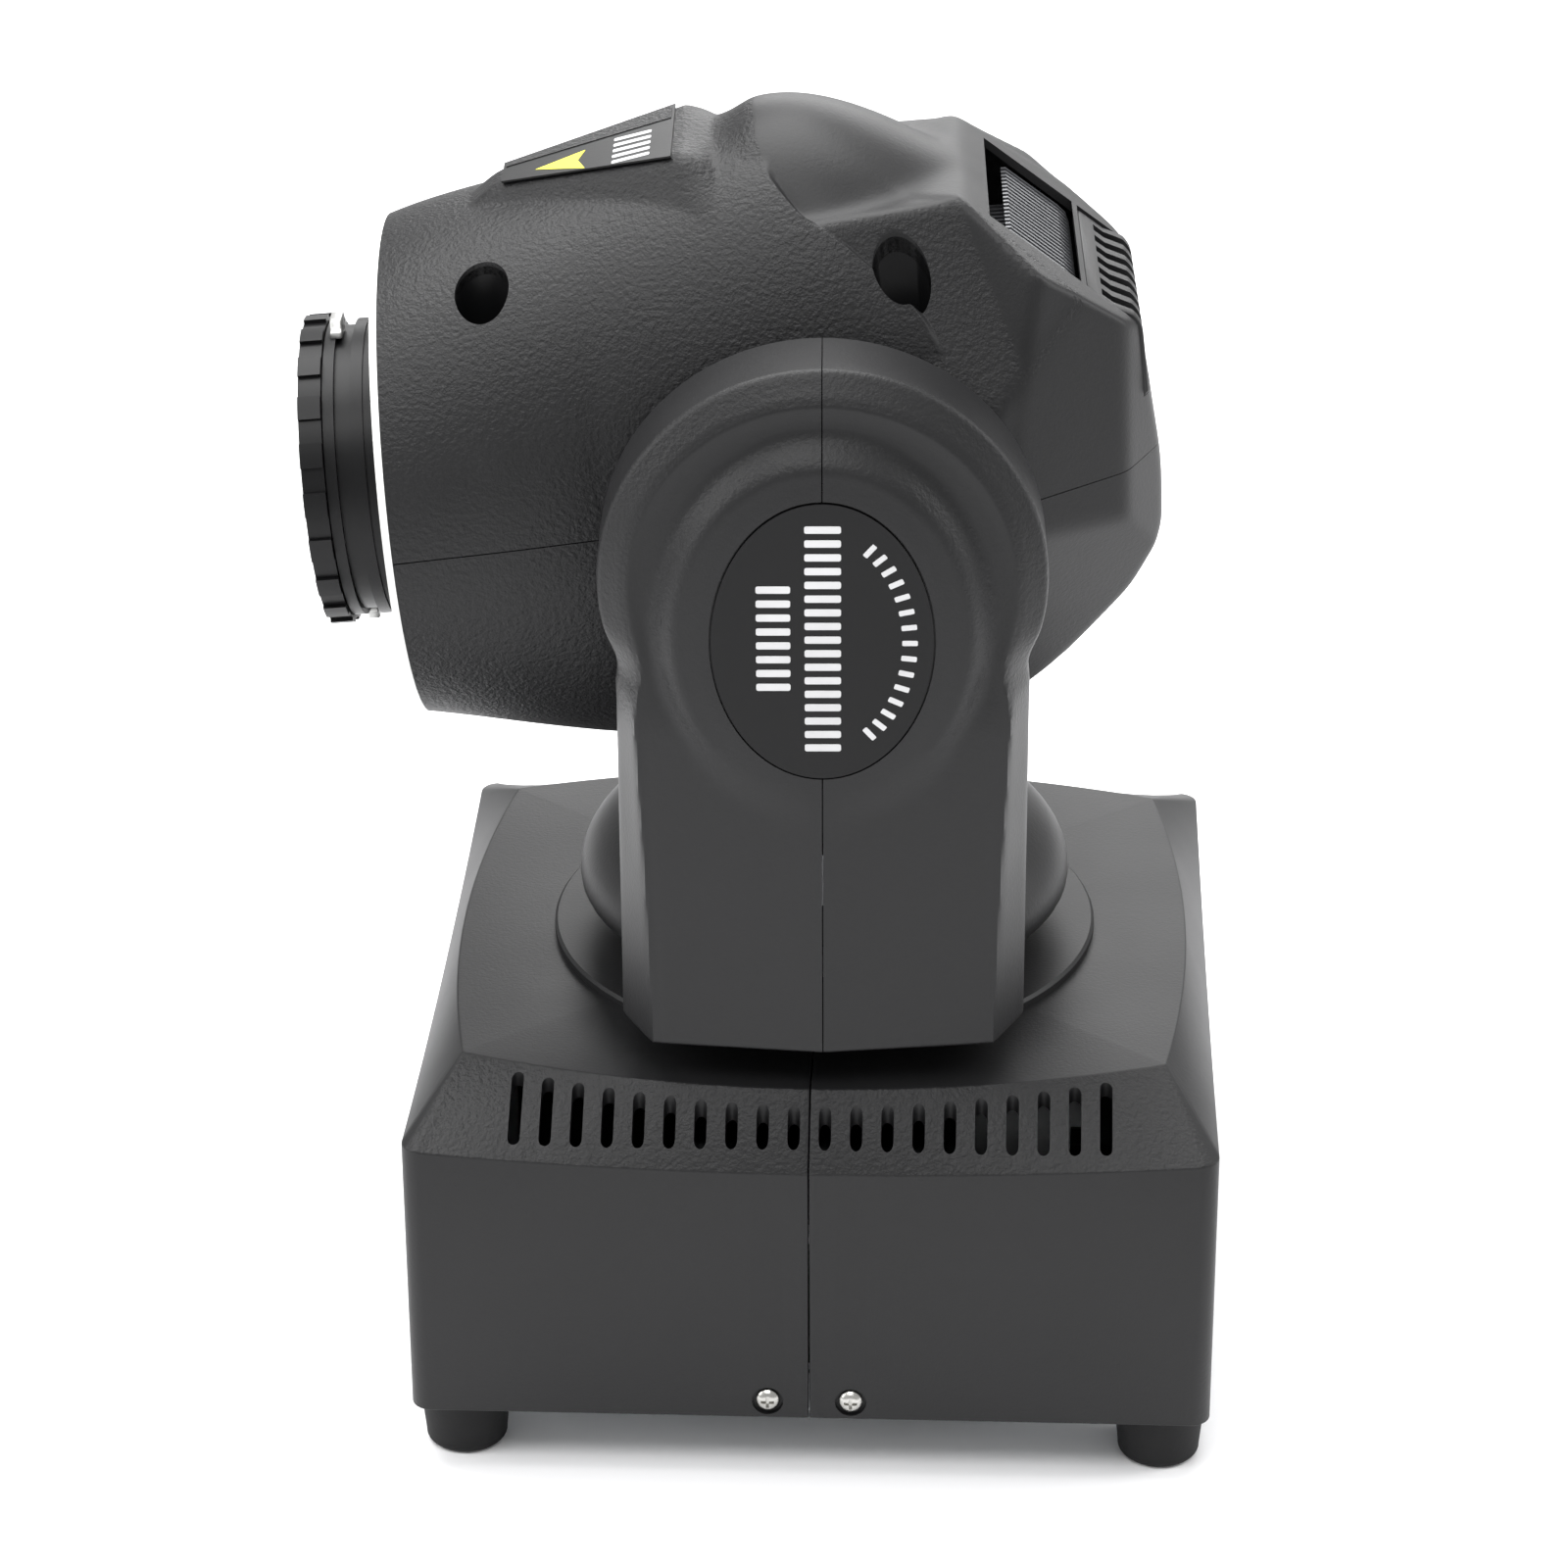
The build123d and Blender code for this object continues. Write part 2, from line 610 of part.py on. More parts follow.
def yoke_form(inset):
    """The yoke as one solid: round bowl, crossbar and two arms with round heads."""
    bottom = YOKE_BOTTOM + inset
    half = ARM_HALF - inset
    inner = ARM_INNER + inset
    with BuildPart() as form:
        add(revolved([(0, bottom), (SKIRT_R - 3 - inset, bottom), (SKIRT_R - inset, bottom + 3),
                      (SKIRT_R - inset, 90), (SKIRT_R - 1 - inset, 96), (46 - inset, BOWL_TOP - inset),
                      (0, BOWL_TOP - inset)]))
        for side in (-1, 1):
            with BuildSketch(Plane.XY.offset(bottom)):
                with BuildLine():
                    Polyline((-half, 0), (-half, side * (58 - 0.4 * inset)),
                             (-35 + 0.9 * inset, side * (71 - inset)), (0, side * (ARM_OUTER - 0.6 - inset)),
                             (35 - 0.9 * inset, side * (71 - inset)), (half, side * (58 - 0.4 * inset)),
                             (half, 0), close=True)
                make_face()
            extrude(amount=158 - bottom)
            with BuildSketch(Plane((0, side * 40, AXIS_Z), x_dir=(1, 0, 0), z_dir=(0, side, 0))):
                Circle(ARM_HEAD_R - inset)
            extrude(amount=ARM_RIM - 0.5 * inset - 40)
            with BuildSketch(Plane((0, side * (ARM_RIM - 0.5 * inset), AXIS_Z), x_dir=(1, 0, 0),
                                   z_dir=(0, side, 0))):
                Circle(ARM_HEAD_R - inset)
            with BuildSketch(Plane((0, side * (70 - inset), AXIS_Z), x_dir=(1, 0, 0),
                                   z_dir=(0, side, 0))):
                Circle(37.5 - 0.6 * inset)
            loft()
            with BuildSketch(Plane((0, side * 60, BADGE_Z), x_dir=(1, 0, 0), z_dir=(0, side, 0))):
                Ellipse(30 - inset, 37 - inset)
            extrude(amount=ARM_OUTER - inset - 60)
        add(block((-100, 100), (-inner, inner), (CROSSBAR_TOP, 260)), mode=Mode.SUBTRACT)
        with BuildSketch(Plane((0, -inner, AXIS_Z), x_dir=(1, 0, 0), z_dir=(0, 1, 0))):
            Circle(SCOOP_R + inset)
        extrude(amount=2 * inner, mode=Mode.SUBTRACT)
    return form.part


def yoke_shell(side):
    """One half of the yoke cover; side is -1 towards the lens, 1 towards the back."""
    with BuildPart() as shell:
        add(yoke_form(0))
        add(yoke_form(YOKE_WALL), mode=Mode.SUBTRACT)
        with BuildSketch(Plane.XY.offset(YOKE_BOTTOM - 1)):
            Circle(18.2)
        extrude(amount=5, mode=Mode.SUBTRACT)
        with BuildSketch(Plane((0, -60, AXIS_Z), x_dir=(1, 0, 0), z_dir=(0, 1, 0))):
            Circle(9.0)
        extrude(amount=120, mode=Mode.SUBTRACT)
        for y_side in (-1, 1):
            with BuildSketch(Plane((0, y_side * (ARM_OUTER + 1), BADGE_Z), x_dir=(1, 0, 0),
                                   z_dir=(0, -y_side, 0))):
                Ellipse(21.6, 29.0)
            extrude(amount=1.8, mode=Mode.SUBTRACT)
        add(block((-side * 200, side * SEAM) if side > 0 else (side * SEAM, -side * 200),
                  (-100, 100), (0, 300)), mode=Mode.SUBTRACT)
    return shell.part


def arm_badges():
    """Oval cover discs in the two arm heads."""
    with BuildPart() as badges:
        for side in (-1, 1):
            with BuildSketch(Plane((0, side * (ARM_OUTER - 0.8), BADGE_Z), x_dir=(1, 0, 0),
                                   z_dir=(0, side, 0))):
                Ellipse(21.35, 28.75)
            extrude(amount=1.0)
    return badges.part


def yoke_frame():
    """Folded steel U inside the yoke: it carries the bearings and the tilt motor."""
    thickness = 1.5
    arm = ARM_INNER + YOKE_WALL + 0.3
    with BuildPart() as frame:
        add(block((-28, 28), (-arm - thickness, arm + thickness), (86, 86 + thickness)))
        for side in (-1, 1):
            add(block((-24, 24), sorted((side * arm, side * (arm + thickness))), (86, 188)))
            with BuildSketch(Plane((0, side * (arm - 1), AXIS_Z), x_dir=(1, 0, 0), z_dir=(0, side, 0))):
                Circle(11.0)
            extrude(amount=thickness + 2, mode=Mode.SUBTRACT)
        with BuildSketch(Plane.XY.offset(85)):
            Circle(10.5)
            with PolarLocations(24, 4, start_angle=45):
                Circle(1.7)
        extrude(amount=4, mode=Mode.SUBTRACT)
    return frame.part


def tilt_bearings():
    """Two ball bearings, one in each arm of the frame."""
    arm = ARM_INNER + YOKE_WALL + 0.3
    with BuildPart() as rings:
        for side in (-1, 1):
            add(tube(Plane((0, side * arm, AXIS_Z), x_dir=(1, 0, 0), z_dir=(0, side, 0)),
                     11.0, 8.0 + RUNNING, 5.0))
    return rings.part


def tilt_motor():
    """Flat stepper motor in the near arm."""
    low = Plane((0, -(ARM_INNER + YOKE_WALL + 1.8), TILT_MOTOR_Z), x_dir=(1, 0, 0), z_dir=(0, -1, 0))
    return stepper(35.0, 13.2).moved(low.location)


def yoke_screws():
    """Screws that clamp the frame to the hub flange."""
    seats = []
    for angle in (45, 135, 225, 315):
        x = 24 * math.cos(math.radians(angle))
        y = 24 * math.sin(math.radians(angle))
        seats.append(Plane((x, y, 87.5)))
    return group(pan_head_screw(3.0, 1.5, 1.5), seats)


# ---- head -----------------------------------------------------------------------------
# Cross-sections of the head: distance along the optical axis, half width, top and bottom.
NOSE_SECTIONS = [(-84, 51, 55, -47), (-62, 48.8, 60, -52), (-42, 46, 66, -56.5), (-8, 46, 73, -59),
                 (16, 46, 64, -58)]
# Faceted tail: along the axis, roof half width, roof, half width, top and foot of the flank,
# floor half width, floor.
TAIL_SECTIONS = [(14, 27, 60.5, 46, 34, -22, 22, -57), (31, 26, 60.5, 46, 32, -20, 22, -53.5),
                 (46, 36, 48, 43, 26, -18, 20, -44), (58, 31, 37.4, 36.5, 18, -14, 18, -34.5),
                 (63.5, 28, 31, 32, 13, -11, 16, -29), (67.6, 24, 12, 27, 6, -8, 15, -18)]

TAIL_LAP = 4.0           # how far the hollow of the tail reaches into that of the nose


def head_form(inset):
    """The lamp head as a solid: a round nose that widens upward and a faceted tail."""
    with BuildPart() as form:
        for x, half, top, bottom in NOSE_SECTIONS:
            plane = Plane((x, 0, (top + bottom) / 2), x_dir=(0, 1, 0), z_dir=(1, 0, 0))
            with BuildSketch(plane):
                RectangleRounded(2 * (half - inset), top - bottom + 0.01 - 2 * inset, half - inset - 0.02)
        loft(ruled=True)
        for x, roof, top, half, flank_top, flank_foot, floor, bottom in TAIL_SECTIONS:
            if inset > 0 and x == TAIL_SECTIONS[0][0]:
                x -= TAIL_LAP
            if x == TAIL_SECTIONS[-1][0]:
                x -= inset
            roof -= 0.5 * inset
            top -= 1.2 * inset
            half -= inset
            floor -= 0.5 * inset
            bottom += 1.1 * inset
            with BuildSketch(Plane((x, 0, 0), x_dir=(0, 1, 0), z_dir=(1, 0, 0))):
                with BuildLine():
                    Polyline((-roof, top), (roof, top), (half, flank_top), (half, flank_foot),
                             (floor, bottom), (-floor, bottom), (-half, flank_foot), (-half, flank_top),
                             close=True)
                make_face()
        loft(ruled=True)
    return form.part


WINDOW = ((37.0, 54.0), (-WINDOW_HALF, WINDOW_HALF), (20, 70))
GRILLE = ((55.0, 75.0), (-WINDOW_HALF, WINDOW_HALF), (16, 70))
# Screw wells of the upper shell: position, foot of the boss round the well, seat of the screw.
WELLS = ((-62.6, 29.4, PARTING_Z + SEAM, 14.0), (19.2, 32.2, 26.2, 31.0))
WELL_R = 4.6


def well_bosses():
    """The four tubes round the screw wells, trimmed to the outside of the head."""
    with BuildPart() as bosses:
        for x, y, foot, seat in WELLS:
            for side in (-1, 1):
                with BuildSketch(Plane.XY.offset(foot)):
                    with Locations((x, side * y)):
                        Circle(WELL_R + 1.6)
                extrude(amount=70)
        add(head_form(0.05), mode=Mode.INTERSECT)
    return bosses.part


def screw_posts():
    """Posts of the lower shell that the two front screws bite into."""
    x, y = WELLS[0][:2]
    with BuildPart() as posts:
        for side in (-1, 1):
            with BuildSketch(Plane.XY.offset(-60)):
                with Locations((x, side * y)):
                    Circle(4.5)
            extrude(amount=60 + PARTING_Z - SEAM)
        add(head_form(0.05), mode=Mode.INTERSECT)
    return posts.part


def head_mouth():
    """The round opening at the front that the front plate closes."""
    with BuildPart() as mouth:
        with BuildSketch(Plane((HEAD_FRONT - 1, 0, OPTIC_Z), x_dir=(0, 1, 0), z_dir=(1, 0, 0))):
            Circle(HEAD_FRONT_R - HEAD_WALL)
        extrude(amount=3)
    return mouth.part


def head_shell(is_top):
    """Upper or lower moulded cover of the head."""
    with BuildPart() as shell:
        add(head_form(0))
        add(head_form(HEAD_WALL), mode=Mode.SUBTRACT)
        add(head_mouth(), mode=Mode.SUBTRACT)
        if is_top:
            add(well_bosses())
            for x, y, foot, seat in WELLS:
                for side in (-1, 1):
                    with BuildSketch(Plane.XY.offset(seat)):
                        with Locations((x, side * y)):
                            Circle(WELL_R)
                    extrude(amount=70, mode=Mode.SUBTRACT)
                    with BuildSketch(Plane.XY.offset(foot - 1)):
                        with Locations((x, side * y)):
                            Circle(1.6)
                    extrude(amount=20, mode=Mode.SUBTRACT)
            add(label_pad())
            add(label_plate(0.2, 3.0), mode=Mode.SUBTRACT)
            add(block(*WINDOW), mode=Mode.SUBTRACT)
            add(block(*GRILLE), mode=Mode.SUBTRACT)
        else:
            add(screw_posts())
            for side in (-1, 1):
                with BuildSketch(Plane.XY.offset(-12)):
                    with Locations((WELLS[0][0], side * WELLS[0][1])):
                        Circle(1.5)
                extrude(amount=20, mode=Mode.SUBTRACT)
        with BuildSketch(Plane((0, -60, 0), x_dir=(1, 0, 0), z_dir=(0, 1, 0))):
            Circle(8.3)
        extrude(amount=120, mode=Mode.SUBTRACT)
        if is_top:
            cut = block((-200, 200), (-100, 100), (-100, PARTING_Z + SEAM))
        else:
            cut = block((-200, 200), (-100, 100), (PARTING_Z - SEAM, 200))
        add(cut, mode=Mode.SUBTRACT)
    return shell.part


LABEL_FRONT, LABEL_REAR = -59.0, -24.6
LABEL_FRONT_HALF, LABEL_REAR_HALF = 9.6, 16.8
LABEL_FRONT_Z, LABEL_REAR_Z = 65.8, 71.7
LABEL_SLOPE = math.degrees(math.atan2(LABEL_REAR_Z - LABEL_FRONT_Z, LABEL_REAR - LABEL_FRONT))
LABEL_LENGTH = (LABEL_REAR - LABEL_FRONT) / math.cos(math.radians(LABEL_SLOPE))
LABEL_PLANE = Plane((LABEL_FRONT, 0, LABEL_FRONT_Z),
                    x_dir=(LABEL_REAR - LABEL_FRONT, 0, LABEL_REAR_Z - LABEL_FRONT_Z),
                    z_dir=(LABEL_FRONT_Z - LABEL_REAR_Z, 0, LABEL_REAR - LABEL_FRONT))


def label_outline(plane, grow):
    """Tapered outline of the label, grown evenly."""
    with BuildSketch(plane) as outline:
        with BuildLine():
            Polyline((-grow, -LABEL_FRONT_HALF - grow), (LABEL_LENGTH + grow, -LABEL_REAR_HALF - grow),
                     (LABEL_LENGTH + grow, LABEL_REAR_HALF + grow), (-grow, LABEL_FRONT_HALF + grow),
                     close=True)
        make_face()
    return outline.sketch


def label_pad():
    """Raised flat platform on top of the nose that the label lies in."""
    with BuildPart() as pad:
        loft([label_outline(LABEL_PLANE.offset(-6), 7), label_outline(LABEL_PLANE, 1.2)], ruled=True)
    return pad.part


def label_plate(grow, height):
    """The label itself, or the pocket for it when grown."""
    with BuildPart() as plate:
        extrude(label_outline(LABEL_PLANE.offset(-0.8), grow), amount=height)
    return plate.part


def rear_grille():
    """Slotted vent in the tail, between the window and the back face."""
    with BuildPart() as grille:
        add(head_form(0.15))
        add(head_form(HEAD_WALL), mode=Mode.SUBTRACT)
        (x_low, x_high), (y_low, y_high), (z_low, z_high) = GRILLE
        add(block((x_low + 0.15, x_high), (y_low + 0.15, y_high - 0.15), (z_low + 0.15, z_high)),
            mode=Mode.INTERSECT)
        for number in range(7):
            y = (number - 3) * 6.2
            add(block((58.5, 80), (y - 1.6, y + 1.6), (19, 60)), mode=Mode.SUBTRACT)
    return grille.part


def front_ring():
    """Light ring round the mouth of the head."""
    plane = Plane((HEAD_FRONT - 1.5, 0, OPTIC_Z), x_dir=(0, 1, 0), z_dir=(1, 0, 0))
    return tube(plane, HEAD_FRONT_R, HEAD_FRONT_R - 2.6, 1.45)


def front_plate():
    """Front disc that closes the head and holds the focus sleeve."""
    plane = Plane((HEAD_FRONT - 1.5, 0, OPTIC_Z), x_dir=(0, 1, 0), z_dir=(1, 0, 0))
    return tube(plane, HEAD_FRONT_R - 2.7, BARREL_R + 1.8, 2.4)


def focus_sleeve():
    """Stepped sleeve that guides the lens barrel."""
    bore = BARREL_R + RUNNING
    outer = BARREL_R + 1.75
    start = HEAD_FRONT - 8.4
    profile = [(bore, start), (outer - 0.5, start), (outer - 0.5, start + 2.4), (outer - 1.0, start + 2.4),
               (outer - 1.0, start + 3.0), (outer, start + 3.0), (outer, start + 9.4),
               (outer + 5, start + 9.4), (outer + 5, start + 10.9), (bore, start + 10.9)]
    with BuildPart() as sleeve:
        with BuildSketch(Plane((0, 0, OPTIC_Z), x_dir=(0, 1, 0), z_dir=(0, 0, 1))):
            with BuildLine():
                Polyline(*[(radius, -x) for radius, x in profile], close=True)
            make_face()
        revolve(axis=Axis((0, 0, OPTIC_Z), (1, 0, 0)))
    return sleeve.part


def head_screws():
    """Long screws at the bottom of the deep holes of the upper shell."""
    with BuildPart() as screws:
        for x, y, foot, seat in WELLS:
            length = seat - foot + (10 if foot < 20 else 1.8)
            add(group(pan_head_screw(3.2, 1.5, length), [Plane((x, -y, seat)), Plane((x, y, seat))]))
    return screws.part


def optics_chassis():
    """Steel cradle between the trunnions: two side plates and two pierced cross plates."""
    side_y = 38.5
    with BuildPart() as chassis:
        for side in (-1, 1):
            add(block((-40, 22), sorted((side * (side_y - 1.5), side * side_y)), (-24, 26)))
            add(block((12, 22), sorted((side * 27, side * side_y)), (24.5, 26)))
        for x in (-40, 20.5):
            add(block((x, x + 1.5), (-side_y, side_y), (-24, 26)))
        with BuildSketch(Plane.XY.offset(20)):
            with Locations((WELLS[1][0], -WELLS[1][1]), (WELLS[1][0], WELLS[1][1])):
                Circle(1.55)
        extrude(amount=10, mode=Mode.SUBTRACT)
        for x in (-45, 15):
            with BuildSketch(Plane((x, 0, OPTIC_Z), x_dir=(0, 1, 0), z_dir=(1, 0, 0))):
                Circle(17)
            extrude(amount=12, mode=Mode.SUBTRACT)
        with BuildSketch(Plane((0, -50, 0), x_dir=(1, 0, 0), z_dir=(0, 1, 0))):
            Circle(5.5)
        extrude(amount=100, mode=Mode.SUBTRACT)
    return chassis.part


def tilt_trunnions():
    """Two hollow shaft ends that the head hangs on."""
    with BuildPart() as trunnions:
        for side in (-1, 1):
            plane = Plane((0, side * 38.5, 0), x_dir=(1, 0, 0), z_dir=(0, side, 0))
            add(tube(plane, 14, 5.5, 2.5))
            reach = TILT_BELT_Y + 4.9 if side < 0 else 58.0
            add(tube(plane.offset(2.5), 8.0, 5.5, reach - 41))
    return trunnions.part


def heat_sink():
    """Finned aluminium heat sink whose sloping top shows in the window."""
    slope_low, slope_high = (51.5, 36.0), (36.0, 50.0)
    with BuildPart() as sink:
        add(block((30, 34), (-23, 23), (-24, 46)))
        for number in range(20):
            y = (number - 9.5) * 2.35
            with BuildSketch(Plane((0, y - 0.45, 0), x_dir=(1, 0, 0), z_dir=(0, -1, 0))):
                with BuildLine():
                    Polyline((34, -24), (50, -24), slope_low, slope_high, (34, 50), close=True)
                make_face()
            extrude(amount=-0.9)
    return sink.part


def fan_frame():
    """Square frame of the cooling fan behind the heat sink."""
    back = Plane((52.0, 0, 1.0), x_dir=(0, 1, 0), z_dir=(1, 0, 0))
    with BuildPart() as frame:
        with BuildSketch(back):
            RectangleRounded(40, 40, 3)
            with GridLocations(32, 32, 2, 2):
                Circle(1.7, mode=Mode.SUBTRACT)
        extrude(amount=10)
        with BuildSketch(back):
            Circle(18.6)
        extrude(amount=10, mode=Mode.SUBTRACT)
        with BuildSketch(back):
            Circle(8)
        extrude(amount=1.5)
        with BuildSketch(back):
            Rectangle(38.4, 2.4)
            Rectangle(2.4, 38.4)
            Circle(18.9, mode=Mode.INTERSECT)
        extrude(amount=1.5)
        with BuildSketch(back.offset(1.5)):
            Circle(1.5)
        extrude(amount=6)
    return frame.part


def fan_impeller():
    """Hub and seven twisted blades on the fan's pin."""
    start = Plane((54.2, 0, 1.0), x_dir=(0, 1, 0), z_dir=(1, 0, 0))
    with BuildPart() as impeller:
        with BuildSketch(start):
            Circle(8)
        extrude(amount=6.5)
        for number in range(7):
            angle = 2 * math.pi * number / 7
            direction = (0, math.cos(angle), math.sin(angle))
            blade = Plane((57.4, 7.5 * direction[1], 1.0 + 7.5 * direction[2]),
                          x_dir=(0.75, -0.66 * direction[2], 0.66 * direction[1]), z_dir=direction)
            with BuildSketch(blade):
                Rectangle(7.5, 1.0)
            extrude(amount=10.4)
        with BuildSketch(start.offset(-1)):
            Circle(1.5 + RUNNING)
        extrude(amount=6.8, mode=Mode.SUBTRACT)
    return impeller.part


def led_module():
    """LED board on the heat sink with its cone-shaped collimator."""
    with BuildPart() as module:
        add(block((28.4, 30), (-14, 14), (OPTIC_Z - 14, OPTIC_Z + 14)))
        with BuildSketch(Plane((28.4, 0, OPTIC_Z), x_dir=(0, 1, 0), z_dir=(-1, 0, 0))):
            Circle(5)
        with BuildSketch(Plane((20, 0, OPTIC_Z), x_dir=(0, 1, 0), z_dir=(-1, 0, 0))):
            Circle(11)
        loft()
    return module.part


def filter_wheel(x, hole_r, holes, hub_side):
    """A thin wheel of openings with its hub and shaft."""
    plane = Plane((x, 0, WHEEL_Z), x_dir=(0, 1, 0), z_dir=(hub_side, 0, 0))
    with BuildPart() as wheel:
        with BuildSketch(plane):
            Circle(25)
            with PolarLocations(18, holes, start_angle=90):
                Circle(hole_r, mode=Mode.SUBTRACT)
        extrude(amount=1.0)
        with BuildSketch(plane.offset(1.0)):
            Circle(4)
        extrude(amount=1.0)
        with BuildSketch(plane.offset(2.0)):
            Circle(1.5)
        extrude(amount=5)
    return wheel.part


def wheel_motors():
    """Two small round motors that turn the colour and gobo wheels, on their straps."""
    with BuildPart() as motors:
        for x, toward in ((10.4, 1), (-6.4, -1)):
            face = Plane((x, 0, WHEEL_Z), x_dir=(0, 1, 0), z_dir=(toward, 0, 0))
            with BuildSketch(face):
                Circle(9)
                Rectangle(73.8, 8)
            extrude(amount=1.5)
            with BuildSketch(face):
                Circle(9)
            extrude(amount=9)
            with BuildSketch(face):
                Circle(1.5 + RUNNING)
            extrude(amount=7, mode=Mode.SUBTRACT)
    return motors.part


# ---- focus ----------------------------------------------------------------------------
BARREL_FRONT = -100.6


def lens_barrel():
    """Tube that slides in the sleeve and carries the lens, with a clip at top and bottom."""
    front = Plane((BARREL_FRONT, 0, OPTIC_Z), x_dir=(0, 1, 0), z_dir=(1, 0, 0))
    with BuildPart() as barrel:
        add(tube(front, BARREL_R, 26.6, 28))
        add(tube(front.offset(8.5), 27.0, 24.5, 1.5))
    return barrel.part


def lens_holder():
    """Bright ring round the lens with two lugs that reach past the focus ring."""
    plane = Plane((BARREL_FRONT + 2.6, 0, OPTIC_Z), x_dir=(0, 1, 0), z_dir=(1, 0, 0))
    with BuildPart() as holder:
        with BuildSketch(plane):
            Circle(BARREL_R + 1.2)
            Rectangle(9, 2 * BARREL_R + 8.5)
            Circle(BARREL_R, mode=Mode.SUBTRACT)
        extrude(amount=2.2)
    return holder.part


def focus_lens():
    """Thick plano-convex glass lens with a flat rim, bulging forward."""
    radius, bulge, rim, rim_x = 26.5, 5.6, 2.0, -92.2
    sphere_r = (radius ** 2 + bulge ** 2) / (2 * bulge)
    with BuildPart() as lens:
        with BuildSketch(Plane((rim_x, 0, OPTIC_Z), x_dir=(0, 1, 0), z_dir=(-1, 0, 0))):
            Circle(radius)
        extrude(amount=rim + bulge)
        with Locations((rim_x - rim - bulge + sphere_r, 0, OPTIC_Z)):
            Sphere(sphere_r, mode=Mode.INTERSECT)
    return lens.part


def focus_ring():
    """Castellated ring that is turned to focus the beam."""
    front = Plane((-102.8, 0, OPTIC_Z), x_dir=(0, 1, 0), z_dir=(1, 0, 0))
    with BuildPart() as ring:
        add(tube(front, FOCUS_R - 0.8, BARREL_R + RUNNING, 4.6))
        with BuildSketch(front):
            Circle(FOCUS_R)
            Circle(BARREL_R + 1, mode=Mode.SUBTRACT)
            with PolarLocations(FOCUS_R, FOCUS_TEETH):
                Rectangle(3, math.pi * FOCUS_R / FOCUS_TEETH, mode=Mode.SUBTRACT)
        extrude(amount=4.6)
        add(tube(front, BARREL_R + 1, 25.8, 1.6))
    return ring.part


